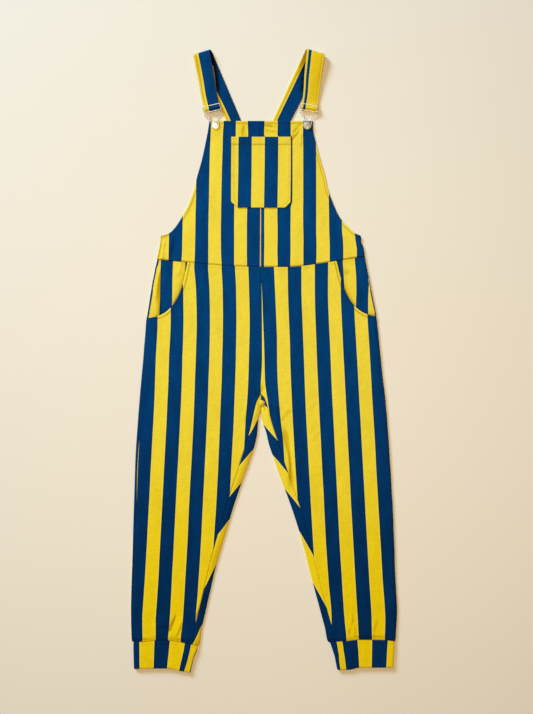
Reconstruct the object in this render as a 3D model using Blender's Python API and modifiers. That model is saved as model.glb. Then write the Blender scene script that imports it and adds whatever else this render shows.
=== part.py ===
"""Striped dungarees laid flat on their back: bib front with a patch pocket, two folded-over
straps with wire sliders and hooks, trouser legs with curved hip pocket mouths, jogger cuffs.

Lengths in this file are in millimetres and are turned into metres when a mesh is made.
X runs across the garment, Y towards the straps, Z up from the surface it lies on.
Left is -X, right is +X.
"""
import math

import bmesh
import bpy
from mathutils import Vector

MM = 0.001

# ---------------------------------------------------------------- driving dimensions
CLOTH = 1.2            # single cloth
CUFF_CLOTH = 2.2       # doubled cuff cloth
STRAP_CLOTH = 1.8      # doubled strap cloth
SEAM = 0.3             # gap left between two sewn edges
Z_BACK = 0.6           # middle of the back panels' cloth above the floor
Z_FRONT = 5.0          # middle of the front panels' cloth over the hips and legs
Z_FACING = 3.5         # middle of the hip pocket facings
Z_SEAM_BACK = 2.6      # where the back panels end on the side seam
Z_SEAM_FRONT = 3.05    # where the front panels begin on the side seam
EDGE_ROLL = 3.0        # width of the roll at a side seam or a folded edge
BIB_DRAPE = 45.0       # width over which the bib sinks towards its armhole edges
UNDERARM_Y = 297       # top of the side seams
UNDERARM_EASE = 0.2    # the two edges of a side seam part by this much more at its top
CROTCH_TIP_Y = -84.0   # the back panels' tips end just short of the point where the seams meet
WIRE = 1.0             # radius of the hook and slider wire
STRAP_HALF = 18.7      # half of the strap's width
SLIDER_HALF = 20.3     # half of the slider frame's width, wire centre
SLIDER_Z = 7.4         # height of the slider frame
HOOK_BAR_Z = 3.1       # height of the hook's bar, held in the strap's loop
RING_RADIUS = 9.0      # keyhole loop round the button
LOOP_RADIUS = 5.5      # bend where a strap folds over at the top
FREE_END_SHIFT = 3.5   # how far the tip of a strap's free end lies to the right of its front run

# Waist seam, from the left side seam to the right one: x, y
WAIST = (
    (-256, 242.5), (-198, 237.5), (-134, 230.5), (-70, 226.5), (0, 224.5), (57, 224.5),
    (95, 227.5), (124, 231.5), (174, 239), (224, 247.5), (242, 249.5),
)

# Bib, waist to top.  left, right: outline.  centre: front seam.  middle, edge: cloth height.
BIB = (
    # y, left, right, centre, middle, edge
    (226, -256, 242, -8.2, 5.0, 5.0),
    (262, -250, 238, -8.2, 4.8, 4.8),
    (282, -247.5, 233.5, -8.2, 4.6, 4.6),
    (297, -247, 232.5, -8.2, 4.4, 4.4),
    (303, -231, 221, -8.2, 4.2, 3.5),
    (309, -222.5, 213.5, -8.2, 4.1, 3.1),
    (316, -216, 207.5, -8.2, 4.0, 2.8),
    (325, -209, 197, -8.2, 3.8, 2.4),
    (336, -202, 187.5, -8.2, 3.6, 2.1),
    (350, -194, 178, -8.2, 3.4, 1.8),
    (371, -182.5, 168.5, -8.2, 3.2, 1.6),
    (392, -174.5, 160, -8.2, 3.1, 1.5),
    (412, -167.5, 153, -8.3, 3.0, 1.4),
    (440, -161, 147, -8.4, 3.0, 1.3),
    (481, -149.5, 135.5, -8.6, 3.0, 1.3),
    (529, -139, 123, -9.0, 3.0, 1.4),
    (555, -134, 118, -9.4, 3.0, 1.6),
    (575, -131, 117.5, -9.8, 3.0, 1.6),
)

# Back bib, hidden under the front one, waist to top
BACK_BIB = (
    # y, left, right
    (226, -256, 242),
    (262, -250, 238),
    (282, -247.5, 233.5),
    (297, -247, 232.5),
    (303, -221, 211),
    (313, -203, 193),
    (330, -180, 167),
    (355, -146, 128),
    (390, -108, 86),
    (430, -80, 51),
    (487.5, -55, 21),
)

# Bib pocket, bottom to top
POCKET = (
    # y, left, right
    (366.5, -62.5, 50.5),
    (374, -71, 58),
    (382, -79, 65),
    (410, -79, 65.5),
    (460, -78.8, 66),
    (517, -78.5, 66),
    (536.5, -78.5, 66),
)

# Legs, waist to cuff seam.  outer: outline at the side seam.  seam: front edge of the panel,
# the centre front down to the crotch, then the inseam.  fold: inner outline of the leg.
# front, back: height of the cloth's middle.
LEFT_LEG = (
    # y, outer, seam, fold, front, back
    (225, -256, -8, -7, 5.0, 0.6),
    (212, -258.5, -7.5, -7, 5.0, 0.6),
    (198, -262.4, -7.1, -7, 5.0, 0.6),
    (185, -265.4, -6.8, -7, 5.0, 0.6),
    (172, -268.4, -6.5, -7, 5.0, 0.6),
    (160, -271, -6.3, -7, 5.0, 0.6),
    (147, -273.2, -6.1, -7, 5.0, 0.6),
    (134, -275.6, -6, -7, 5.0, 0.6),
    (124, -277.6, -5.9, -7, 5.0, 0.6),
    (116, -279, -5.8, -7, 5.0, 0.6),
    (110, -280.3, -5.7, -7, 5.0, 0.6),
    (105, -281.3, -5.7, -7, 5.0, 0.6),
    (101, -282, -5.6, -7, 5.0, 0.6),
    (94, -283, -5.6, -7, 5.0, 0.6),
    (70, -284.6, -5.5, -7, 5.0, 0.6),
    (35, -287.6, -5.5, -7, 5.0, 0.6),
    (0, -290.3, -5.5, -7, 5.0, 0.6),
    (-35, -293.6, -6.4, -7, 5.0, 0.6),
    (-60, -295.9, -8, -7, 5.0, 0.6),
    (-79, -297.6, -9.8, -7, 5.0, 0.6),
    (-100, -299.2, -18, -7, 5.0, 0.6),
    (-121, -301, -23.5, -7, 5.0, 0.6),
    (-137, -302.2, -27, -13, 5.0, 0.6),
    (-153, -303.3, -30.5, -14.7, 5.0, 0.6),
    (-172, -304.7, -35, -16, 5.0, 0.6),
    (-200, -306.6, -43, -21.5, 5.0, 0.6),
    (-235, -308.6, -54.5, -32.5, 5.0, 0.6),
    (-270, -309.9, -65, -45, 5.0, 0.6),
    (-310, -311, -78, -59.5, 5.0, 0.6),
    (-350, -312.3, -91, -73, 5.0, 0.6),
    (-400, -313.9, -105.5, -88, 5.0, 0.6),
    (-450, -315.3, -120, -103, 5.0, 0.6),
    (-500, -316.8, -132.5, -117, 5.0, 0.6),
    (-550, -318.5, -144.5, -128.5, 5.0, 0.6),
    (-600, -319.5, -156.5, -141, 5.0, 0.6),
    (-635, -319, -165, -148.5, 5.2, 0.6),
    (-658, -318, -169.5, -152, 5.6, 0.7),
    (-674, -316, -172.5, -156, 6.0, 0.9),
)
RIGHT_LEG = (
    # y, outer, seam, fold, front, back
    (225, 241.5, -8, -6.8, 5.0, 0.6),
    (212, 244.2, -7.5, -6.8, 5.0, 0.6),
    (198, 246.8, -7.1, -6.8, 5.0, 0.6),
    (185, 250.4, -6.8, -6.8, 5.0, 0.6),
    (172, 253.8, -6.5, -6.8, 5.0, 0.6),
    (160, 256.8, -6.3, -6.8, 5.0, 0.6),
    (147, 259.8, -6.1, -6.8, 5.0, 0.6),
    (134, 263, -6, -6.8, 5.0, 0.6),
    (126, 265.2, -5.9, -6.8, 5.0, 0.6),
    (119, 266.8, -5.8, -6.8, 5.0, 0.6),
    (113, 268, -5.8, -6.8, 5.0, 0.6),
    (109, 268.8, -5.7, -6.8, 5.0, 0.6),
    (105, 269.5, -5.6, -6.8, 5.0, 0.6),
    (98, 270.6, -5.6, -6.8, 5.0, 0.6),
    (70, 274, -5.5, -6.8, 5.0, 0.6),
    (35, 277.5, -5.5, -6.8, 5.0, 0.6),
    (0, 281, -5.5, -6.8, 5.0, 0.6),
    (-35, 284.5, -6.4, -6.8, 5.0, 0.6),
    (-60, 287.5, -8, -6.8, 5.0, 0.6),
    (-79, 290, -9.8, -6.8, 5.0, 0.6),
    (-100, 292, 0, -6.8, 5.0, 0.6),
    (-121, 294, 10.5, -6.8, 5.0, 0.6),
    (-137, 295.5, 15.5, -5.2, 5.0, 0.6),
    (-153, 296.5, 20, -1.5, 5.0, 0.6),
    (-172, 298, 26, 5, 5.0, 0.6),
    (-200, 300, 36, 11.5, 5.0, 0.6),
    (-235, 302, 46.5, 23.5, 5.0, 0.6),
    (-270, 304.5, 58.5, 35.5, 5.0, 0.6),
    (-310, 306.5, 72.5, 50.5, 5.0, 0.6),
    (-350, 309, 86, 65, 5.0, 0.6),
    (-400, 311, 100.5, 81.5, 5.0, 0.6),
    (-450, 313, 114, 96, 5.0, 0.6),
    (-500, 314.5, 127.5, 108.5, 5.0, 0.6),
    (-550, 317, 140, 121.5, 5.0, 0.6),
    (-600, 319.5, 152.5, 135, 5.0, 0.6),
    (-635, 318, 161, 144.5, 5.2, 0.6),
    (-658, 316, 167, 151, 5.6, 0.7),
    (-673, 314, 170.5, 156, 6.0, 0.9),
)

# Hip pocket mouths: where each of the first leg rows meets the mouth's edge
LEFT_MOUTH = (
    -185.3, -187.4, -189.9, -193, -196.8, -201.6, -208.4, -217.6, -226.4, -236, -246.4, -260, -281.4,
)
RIGHT_MOUTH = (
    173.8, 177, 180.5, 184.3, 188.8, 194.2, 201.4, 211.4, 219.4, 228.8, 239.8, 251, 269,
)

# Hip pocket facings.  outer: on the side seam.  inner: under the front panel.
LEFT_FACING = (
    # y outer, x outer, y inner, x inner
    (241, -256, 236, -168),
    (222, -260.5, 222, -170),
    (205, -264, 207, -172),
    (185, -268, 190, -176),
    (160, -272.2, 164, -184),
    (140, -275.2, 140, -194),
    (120, -278.4, 116, -208),
    (101.8, -281.4, 92, -228),
)
RIGHT_FACING = (
    # y outer, x outer, y inner, x inner
    (248, 242, 237.5, 158),
    (225, 246, 224, 160),
    (205, 250.1, 208, 163),
    (185, 254.2, 190, 168),
    (160, 258.8, 164, 177),
    (140, 262.8, 140, 188),
    (120, 267, 118, 202),
    (105.8, 269.2, 95, 222),
)

# Cuff seams and cuff hems: x, y
LEFT_CUFF_SEAM = ((-316, -674), (-290, -675), (-258, -671.5), (-226, -672), (-190, -678), (-158, -684))
RIGHT_CUFF_SEAM = ((157, -675.5), (200, -673), (228, -670), (290, -671), (315, -673.5))
LEFT_HEM = ((-312, -739.5), (-264, -738), (-233, -738), (-203, -743.5), (-177, -748))
RIGHT_HEM = ((175, -741.5), (205, -741), (227, -736.5), (293, -736), (311, -736.5))

# Cuff outlines, seam to hem.  down: share of the way from seam to hem.
LEFT_CUFF = (
    # down, outer, inner
    (0, -313, -158.5),
    (0.2, -313.5, -162),
    (0.5, -313, -170),
    (0.8, -312.5, -175.5),
    (1, -312, -178.5),
)
RIGHT_CUFF = (
    # down, outer, inner
    (0, 313, 158.5),
    (0.2, 313, 162.5),
    (0.5, 312, 169),
    (0.8, 311, 173),
    (1, 310, 176),
)

# Straps: the ends of the fold at the top where the front run begins and where the back run
# ends, the two ends of the back run's start at the back bib, the middle of the hook's bar,
# how far the bar leans, the slider's lean, the button
STRAPS = (
    # name, front fold, back fold, back bib ends, bar middle, bar lean, slider lean, button
    ("left", ((-167.9, 727.8), (-129.7, 739.1)), ((-159.9, 728.3), (-123.9, 739.3)),
     (-53.6, -20.2), (-123.8, 600.2), 13, 13.5, (-116.6, 564.7)),
    ("right", ((102.4, 741.3), (144.5, 727.8)), ((97.9, 740.9), (142.9, 728.6)),
     (-17.7, 22.9), (107.6, 600.9), -9, -10, (104.4, 565)),
)
STRAP_BACK_Y = 494.0
# Height of the strap's middle along its front run, from the hook's bar up to the crease
FRONT_RUN = (
    # distance, height
    (-1.5, 4.7), (3.3, 9.0), (4.8, 9.6), (6.2, 9.1), (10.8, 5.6), (12.2, 5.2), (15, 5.2),
    (26, 5.7), (50, 7.3), (90, 10.0), (123, 11.8),
)
# The same for the free end turned back under it
FREE_END = ((0, 0.9), (4, 1.1), (10, 2.5), (14, 3.0), (60, 3.0), (106, 3.0))

# Hook outline from its bar to the keyhole loop: across, down from the bar
HOOK_SIDE = (
    (19.3, 0), (20.3, 0.8), (20.6, 2), (20.6, 8.6), (20.0, 10.6), (18.4, 11.6), (12.2, 12),
    (9.9, 12.9), (8.9, 15), (8.6, 20), (8.8, 28),
)
# Slider frame, one quarter of its outline from its middle
SLIDER_CORNER = ((20.3, 5.6), (19.8, 6.8), (18.6, 7.3))
SLIDER_MIDDLE = 4.8    # how far the slider's middle lies above the hook's bar

# Button from its foot to its crown: radius, height
BUTTON = (
    (0, 0.3), (3.0, 0.3), (3.0, 2.7), (8.1, 2.7), (8.7, 3.2), (8.6, 3.9), (7.4, 4.7),
    (4.2, 5.3), (0, 5.5),
)

# Broad soft rolls in the front cloth: x, y, direction in degrees, half length, half width, rise
ROLLS = (
    (-215, -20, 78, 120, 45, 0.5),
    (-120, 60, 98, 110, 42, 0.4),
    (-165, -330, 70, 120, 45, 0.5),
    (-235, -520, 95, 100, 40, 0.5),
    (200, -60, 100, 120, 45, 0.5),
    (110, 90, 82, 100, 42, 0.4),
    (190, -400, 108, 130, 45, 0.5),
    (245, -560, 85, 90, 40, 0.5),
)


# ---------------------------------------------------------------- shapes from the tables
def mix(a, b, t):
    return a + (b - a) * t


def smooth(t):
    t = min(max(t, 0.0), 1.0)
    return t * t * (3 - 2 * t)


def along(table, x, column=1):
    """Value of a column at x in a table sorted by its first column, up or down."""
    rows = table if table[0][0] < table[-1][0] else table[::-1]
    if x <= rows[0][0]:
        return rows[0][column]
    for a, b in zip(rows, rows[1:]):
        if x <= b[0]:
            return mix(a[column], b[column], (x - a[0]) / (b[0] - a[0]))
    return rows[-1][column]


def drawn(table, x, half):
    """A line drawn smoothly through a table."""
    return (along(table, x - half) + 2 * along(table, x) + along(table, x + half)) / 4


def waist_y(x):
    return drawn(WAIST, x, 25)


def cuff_seam_y(x):
    return drawn(LEFT_CUFF_SEAM if x < 0 else RIGHT_CUFF_SEAM, x, 12)


def rise(x, y):
    """Height the soft rolls add to a front panel."""
    total = 0.0
    for cx, cy, angle, half_length, half_width, height in ROLLS:
        c = math.cos(math.radians(angle))
        s = math.sin(math.radians(angle))
        u = ((x - cx) * c + (y - cy) * s) / half_length
        v = ((y - cy) * c - (x - cx) * s) / half_width
        if abs(u) < 1 and abs(v) < 1:
            total += height * (1 - u * u) ** 2 * (1 - v * v) ** 2
    return total


def side_roll(edge, inward, z_flat, z_end):
    """Cloth that turns down (or up) over a side seam: points from the flat to the seam."""
    steps = ((1.0, 0.0), (0.25, 0.3), (0.0, 0.75), (0.0, 1.0))
    return [(edge + inward * EDGE_ROLL * a, mix(z_flat, z_end, b)) for a, b in steps]


def bib_height(x, y):
    left, right, middle, edge = (along(BIB, y, c) for c in (1, 2, 4, 5))
    inside = min(x - left, right - x)
    return mix(edge, middle, smooth(inside / BIB_DRAPE))


# ---------------------------------------------------------------- meshes
def clear_scene():
    for ob in list(bpy.data.objects):
        bpy.data.objects.remove(ob, do_unlink=True)


def collection(name):
    col = bpy.data.collections.new(name)
    bpy.context.scene.collection.children.link(col)
    return col


def material(name, colour, metallic=0.0, roughness=0.8):
    mat = bpy.data.materials.new(name)
    mat.use_nodes = True
    shader = mat.node_tree.nodes["Principled BSDF"]
    shader.inputs["Base Color"].default_value = (*colour, 1.0)
    shader.inputs["Metallic"].default_value = metallic
    shader.inputs["Roughness"].default_value = roughness
    mat.diffuse_color = (*colour, 1.0)
    return mat


def add_object(name, data, mat):
    ob = bpy.data.objects.new(name, data)
    PARTS.objects.link(ob)
    data.materials.append(mat)
    return ob


def sheet(name, rows, thickness, colour, closed=False, missing=(), even=True):
    """Cloth from rows of points: an open surface made solid about its middle.

    closed joins each row's end to its start; missing lists (row, column) quads to leave out;
    even keeps the thickness the same round tight bends.
    """
    width = len(rows[0])
    points = [(x * MM, y * MM, z * MM) for row in rows for x, y, z in row]
    faces = []
    last = width if closed else width - 1
    for r in range(len(rows) - 1):
        for c in range(last):
            if (r, c) in missing:
                continue
            d = (c + 1) % width
            faces.append((r * width + c, r * width + d, (r + 1) * width + d, (r + 1) * width + c))
    used = sorted({i for face in faces for i in face})
    index = {old: new for new, old in enumerate(used)}
    mesh = bpy.data.meshes.new(name)
    mesh.from_pydata([points[i] for i in used], [], [[index[i] for i in f] for f in faces])
    ob = add_object(name, mesh, material(name + "_cloth", colour))
    solid = ob.modifiers.new("cloth", "SOLIDIFY")
    solid.thickness = thickness * MM
    solid.offset = 0.0
    solid.use_even_offset = even
    solid.use_rim = True
    return ob


def wire(name, points, colour):
    curve = bpy.data.curves.new(name, "CURVE")
    curve.dimensions = "3D"
    curve.bevel_depth = WIRE * MM
    curve.bevel_resolution = 2
    curve.use_fill_caps = True
    spline = curve.splines.new("POLY")
    spline.points.add(len(points) - 1)
    for target, (x, y, z) in zip(spline.points, points):
        target.co = (x * MM, y * MM, z * MM, 1.0)
    spline.use_cyclic_u = True
    return add_object(name, curve, material(name + "_metal", colour, 1.0, 0.25))


def bar(name, start, end, colour):
    """Straight round bar between two points."""
    a = Vector(start) * MM
    b = Vector(end) * MM
    mesh = bpy.data.meshes.new(name)
    shape = bmesh.new()
    bmesh.ops.create_cone(shape, cap_ends=True, segments=12, radius1=WIRE * MM,
                          radius2=WIRE * MM, depth=(b - a).length)
    shape.to_mesh(mesh)
    shape.free()
    ob = add_object(name, mesh, material(name + "_metal", colour, 1.0, 0.25))
    ob.location = (a + b) / 2
    ob.rotation_euler = (b - a).to_track_quat("Z", "Y").to_euler()
    return ob


def turned(name, profile, place, colour):
    """Solid of revolution about Z, its profile given from foot to crown."""
    points = [(r * MM, 0.0, z * MM) for r, z in profile]
    edges = [(i, i + 1) for i in range(len(profile) - 1)]
    mesh = bpy.data.meshes.new(name)
    mesh.from_pydata(points, edges, [])
    ob = add_object(name, mesh, material(name + "_metal", colour, 1.0, 0.25))
    ob.location = [v * MM for v in place]
    screw = ob.modifiers.new("turn", "SCREW")
    screw.axis = "Z"
    screw.angle = 2 * math.pi
    screw.steps = 20
    screw.render_steps = 20
    screw.use_merge_vertices = True
    screw.merge_threshold = 0.00001
    screw.use_normal_calculate = True
    return ob


# ---------------------------------------------------------------- garment pieces
BLUE = (0.01, 0.06, 0.18)
YELLOW = (0.85, 0.68, 0.06)
NICKEL = (0.75, 0.74, 0.72)
FLAT_COLUMNS = 7


def front_bib(side):
    """Half of the front bib, from the centre seam to the armhole and side seam."""
    rows = []
    for y, left, right, centre, middle, edge in BIB:
        outer = left if side < 0 else right
        inward = -side
        start = centre + side * SEAM / 2
        end = outer + inward * (EDGE_ROLL + CLOTH / 2)
        row = []
        for i in range(FLAT_COLUMNS + 1):
            x = mix(start, end, i / (FLAT_COLUMNS + 1))
            row.append((x, bib_height(x, y)))
        sewn = y <= UNDERARM_Y
        limit = outer + inward * CLOTH / 2
        if sewn:
            ease = UNDERARM_EASE if y == UNDERARM_Y else 0
            row += side_roll(limit, inward, middle, Z_SEAM_FRONT + ease)
        else:
            row += [(x, bib_height(x, y)) for x in
                    (end, mix(end, outer, 0.4), mix(end, outer, 0.7), outer)]
        low = y == BIB[0][0]
        share = smooth((UNDERARM_Y - y) / 71)
        rows.append([
            (x, mix(y, waist_y(x) + SEAM, share) if low or sewn else y, z)
            for x, z in row
        ])
    return rows


def back_bib():
    rows = []
    for y, left, right in BACK_BIB:
        low = left + EDGE_ROLL + CLOTH / 2
        high = right - EDGE_ROLL - CLOTH / 2
        flat = [(mix(low, high, i / 10), Z_BACK) for i in range(1, 10)]
        if y <= UNDERARM_Y:
            ease = UNDERARM_EASE if y == UNDERARM_Y else 0
            start = side_roll(left + CLOTH / 2, 1, Z_BACK, Z_SEAM_BACK - ease)[::-1]
            end = side_roll(right - CLOTH / 2, -1, Z_BACK, Z_SEAM_BACK - ease)
        else:
            start = [(left + s * EDGE_ROLL / 3, Z_BACK) for s in (0, 1, 2, 3)]
            end = [(right - s * EDGE_ROLL / 3, Z_BACK) for s in (3, 2, 1, 0)]
        share = smooth((UNDERARM_Y - y) / 71)
        rows.append([(x, mix(y, waist_y(x) + SEAM, share), z) for x, z in start + flat + end])
    return rows


def bib_pocket():
    rows = []
    lift = CLOTH + SEAM
    for y, left, right in POCKET:
        xs = [mix(left, right, i / 6) for i in range(7)]
        rows.append([(x, y, bib_height(x, y) + lift) for x in xs])
    return rows


def leg_point_y(table, r, x):
    """Rows follow the waist seam at the top of a leg and the cuff seam at its foot."""
    y = table[r][0]
    if r == 0:
        return waist_y(x) - SEAM
    if y > 101:
        return y + (waist_y(x) - 225) * smooth((y - 101) / 124)
    if y < -640:
        return mix(y, cuff_seam_y(x) + SEAM, smooth((-640 - y) / 33))
    return y


def front_leg(table, mouth, side):
    rows = []
    inward = -side
    for r, (y, outer, seam, fold, front, back) in enumerate(table):
        start = seam + side * SEAM / 2
        in_mouth = r < len(mouth)
        limit = mouth[r] if in_mouth else outer + inward * CLOTH / 2
        end = limit + inward * EDGE_ROLL
        row = [(mix(start, end, i / (FLAT_COLUMNS + 1)), front) for i in range(FLAT_COLUMNS + 1)]
        if in_mouth:
            row += [(mix(end, limit, t), front) for t in (0, 0.4, 0.7, 1)]
        else:
            row += side_roll(limit, inward, front, Z_SEAM_FRONT)
        points = []
        for i, (x, z) in enumerate(row):
            lift = rise(x, y) if 0 < i < FLAT_COLUMNS + 1 else 0
            points.append((x, leg_point_y(table, r, x), z + lift))
        rows.append(points)
    return rows


def back_leg(table, side):
    """Bottom of the leg, rolled over its inner edge on to the front as far as the inseam."""
    rows = []
    missing = set()
    inward = -side
    top = [row[0] for row in table].index(-79)
    apex = [row[0] for row in table].index(-121)
    bottom_count = 6
    roll_count = 4
    for r, (y, outer, seam, fold, front, back) in enumerate(table):
        row = side_roll(outer + inward * CLOTH / 2, inward, back, Z_SEAM_BACK)[::-1]
        open_row = r < apex
        edge = fold + side * (SEAM / 2 if open_row else CLOTH / 2 + SEAM / 2)
        flat_end = edge + side * EDGE_ROLL
        flat_start = row[-1][0]
        for i in range(1, bottom_count):
            row.append((mix(flat_start, flat_end, i / bottom_count), back))
        if open_row:
            near = edge + side * EDGE_ROLL * 0.3
            row += [(flat_end, back), (edge, back)]
            row += [(edge, front), (near, front), (flat_end, front)]
        else:
            for i in range(roll_count + 1):
                a = math.pi * (i / roll_count - 0.5)
                x = flat_end + inward * EDGE_ROLL * math.cos(a)
                row.append((x, mix(back, front, 0.5 + 0.5 * math.sin(a))))
        tip = seam - side * SEAM / 2
        row += [(mix(flat_end, tip, 0.5), front), (tip, front)]
        flap = len(row) - 5
        if r == top:
            share = (y - CROTCH_TIP_Y) / (y - table[r + 1][0])
            centre = mix(seam, table[r + 1][3], share) + side * SEAM / 2
            tip = mix(seam, table[r + 1][2], share) - side * SEAM / 2
            row[flap:] = [(mix(centre, tip, i / 4), front) for i in range(5)]
        if r < top:
            missing |= {(r, c) for c in range(flap - 1, len(row) - 1)}
        elif r < apex:
            missing.add((r, flap - 1))
        rows.append([
            (x, CROTCH_TIP_Y if r == top and i >= flap else leg_point_y(table, r, x), z)
            for i, (x, z) in enumerate(row)
        ])
    return rows, missing


def facing(table):
    rows = []
    for y_out, x_out, y_in, x_in in table:
        points = []
        for t in (0.0, 0.08, 0.3, 0.55, 0.8, 1.0):
            x = mix(x_out, x_in, t)
            points.append((x, min(mix(y_out, y_in, t), waist_y(x) - SEAM), Z_FACING))
        rows.append(points)
    return rows


def cuff(table, hem, side):
    """Flattened tube of doubled cloth, open at the foot and where the leg joins it."""
    low = CUFF_CLOTH / 2
    high = Z_FRONT + 1.5
    rows = []
    for down, outer, inner in table:
        half = CUFF_CLOTH / 2 + EDGE_ROLL
        a = outer - side * half
        b = inner + side * half
        ring = [(mix(a, b, i / 6), high) for i in range(7)]
        for i in (1, 2, 3):
            t = math.pi * i / 4
            ring.append((b - side * EDGE_ROLL * math.sin(t), mix(high, low, 0.5 - 0.5 * math.cos(t))))
        ring += [(mix(b, a, i / 6), low) for i in range(7)]
        for i in (1, 2, 3):
            t = math.pi * i / 4
            ring.append((a + side * EDGE_ROLL * math.sin(t), mix(low, high, 0.5 - 0.5 * math.cos(t))))
        rows.append([(x, mix(cuff_seam_y(x) - SEAM, drawn(hem, x, 12), down), z)
                     for x, z in ring])
    return rows


def strap_frame(bar_middle, lean):
    """Directions across the strap and up along it, at the hook's bar."""
    a = math.radians(lean)
    across = Vector((math.cos(a), math.sin(a)))
    up = Vector((-math.sin(a), math.cos(a)))
    return Vector(bar_middle), across, up


def strap_rows(front_fold, back_fold, back_ends, bar_middle, lean):
    """Ribbon from the back bib, folded over at the top, through the slider, round the hook's bar."""
    low = STRAP_CLOTH / 2
    crease = [Vector(p) for p in front_fold]
    below = [Vector(p) for p in back_fold]
    start = [Vector((x, STRAP_BACK_Y)) for x in back_ends]
    rows = []
    for t in (0.0, 0.3, 0.6, 0.85, 1.0):
        rows.append([(*start[s].lerp(below[s], t), low) for s in (0, 1)])
    normal = (crease[1] - crease[0]).orthogonal().normalized()
    if normal.y < 0:
        normal = -normal
    for i in range(1, 8):
        a = math.pi * i / 8
        out = normal * LOOP_RADIUS * math.sin(a)
        over = (1 - math.cos(a)) / 2
        z = low + LOOP_RADIUS * (1 - math.cos(a))
        rows.append([(*(below[s].lerp(crease[s], over) + out), z) for s in (0, 1)])
    rows.append([(*crease[s], low + 2 * LOOP_RADIUS) for s in (0, 1)])
    middle, across, up = strap_frame(bar_middle, lean)
    ends = (middle - across * STRAP_HALF, middle + across * STRAP_HALF)
    lengths = [(crease[s] - ends[s]).length for s in (0, 1)]
    full = sum(lengths) / 2

    def at(distance, z):
        square = [ends[s] + up * distance for s in (0, 1)]
        tapered = [ends[s].lerp(crease[s], distance / full) for s in (0, 1)]
        share = smooth((distance - 20) / 60)
        return [(*square[s].lerp(tapered[s], share), z) for s in (0, 1)]

    rows += [at(d, z) for d, z in FRONT_RUN[::-1]]
    reach = HOOK_BAR_Z - low
    for i in range(1, 6):
        a = math.radians(137) + math.pi * i / 6 * 0.78
        rows.append(at(reach * math.cos(a), HOOK_BAR_Z + reach * math.sin(a)))
    for d, z in FREE_END:
        shift = FREE_END_SHIFT * smooth(d / FREE_END[-1][0])
        rows.append([(x + shift, y, height) for x, y, height in at(d, z)])
    return [[row[0], tuple(mix(row[0][k], row[1][k], 0.5) for k in range(3)), row[1]]
            for row in rows]


def strap_set(name, front_fold, back_fold, back_ends, bar_middle, lean, slider_lean,
              button, colour):
    rows = strap_rows(front_fold, back_fold, back_ends, bar_middle, lean)
    sheet("strap_" + name, rows, STRAP_CLOTH, colour)

    middle, across, up = strap_frame(bar_middle, lean)
    centre = middle + up * SLIDER_MIDDLE
    _, slider_across, slider_up = strap_frame(bar_middle, slider_lean)
    frame = []
    quarter = [Vector(p) for p in SLIDER_CORNER]
    for sx, sy in ((1, 1), (-1, 1), (-1, -1), (1, -1)):
        corner = [(p.x * sx, p.y * sy) for p in quarter]
        frame += corner if sx * sy > 0 else corner[::-1]
    wire("slider_" + name,
         [(*(centre + slider_across * a + slider_up * b), SLIDER_Z) for a, b in frame], NICKEL)
    reach = SLIDER_HALF - WIRE - SEAM
    bar("slider_bar_" + name, (*(centre - slider_across * reach), SLIDER_Z),
        (*(centre + slider_across * reach), SLIDER_Z), NICKEL)

    foot = bib_height(*button) + CLOTH / 2
    ring_z = foot + SEAM + WIRE
    to_button = Vector(button) - middle
    button_across = to_button.dot(across)
    button_down = -to_button.dot(up)
    loop = []
    for i in range(11):
        a = math.pi * i / 10
        loop.append((RING_RADIUS * math.cos(a), button_down + RING_RADIUS * math.sin(a)))
    right_side = list(HOOK_SIDE)
    left_side = [(-a, d) for a, d in HOOK_SIDE]
    points = []
    for a, d in right_side + loop + left_side[::-1]:
        skew = button_across * smooth((d - 6) / (button_down - 10))
        place = middle + across * (a + skew) - up * d
        points.append((*place, mix(HOOK_BAR_Z, ring_z + 0.15, smooth((d - 2) / 16))))
    wire("hook_" + name, points, NICKEL)
    turned("button_" + name, BUTTON, (*button, foot), NICKEL)


# ---------------------------------------------------------------- build
clear_scene()
PARTS = collection("dungarees")

sheet("front_bib_left", front_bib(-1), CLOTH, BLUE)
sheet("front_bib_right", front_bib(1), CLOTH, YELLOW)
sheet("back_bib", back_bib(), CLOTH, BLUE, even=False)
sheet("bib_pocket", bib_pocket(), CLOTH, YELLOW)

for side, name, table, mouth in ((-1, "left", LEFT_LEG, LEFT_MOUTH), (1, "right", RIGHT_LEG, RIGHT_MOUTH)):
    sheet("front_leg_" + name, front_leg(table, mouth, side), CLOTH, YELLOW)
    leg_rows, leg_missing = back_leg(table, side)
    sheet("back_leg_" + name, leg_rows, CLOTH, BLUE, missing=leg_missing)

sheet("hip_facing_left", facing(LEFT_FACING), CLOTH, BLUE)
sheet("hip_facing_right", facing(RIGHT_FACING), CLOTH, BLUE)
sheet("cuff_left", cuff(LEFT_CUFF, LEFT_HEM, -1), CUFF_CLOTH, YELLOW, closed=True)
sheet("cuff_right", cuff(RIGHT_CUFF, RIGHT_HEM, 1), CUFF_CLOTH, YELLOW, closed=True)

for values, colour in zip(STRAPS, (BLUE, YELLOW)):
    strap_set(*values, colour)
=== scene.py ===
"""Looks of the striped dungarees: cloth sheets, stitches, metal, floor, light and camera.

Lengths are in millimetres and are turned into metres when a mesh is made.
X runs across the garment, Y towards the straps, Z up from the floor.
"""
import math

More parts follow.
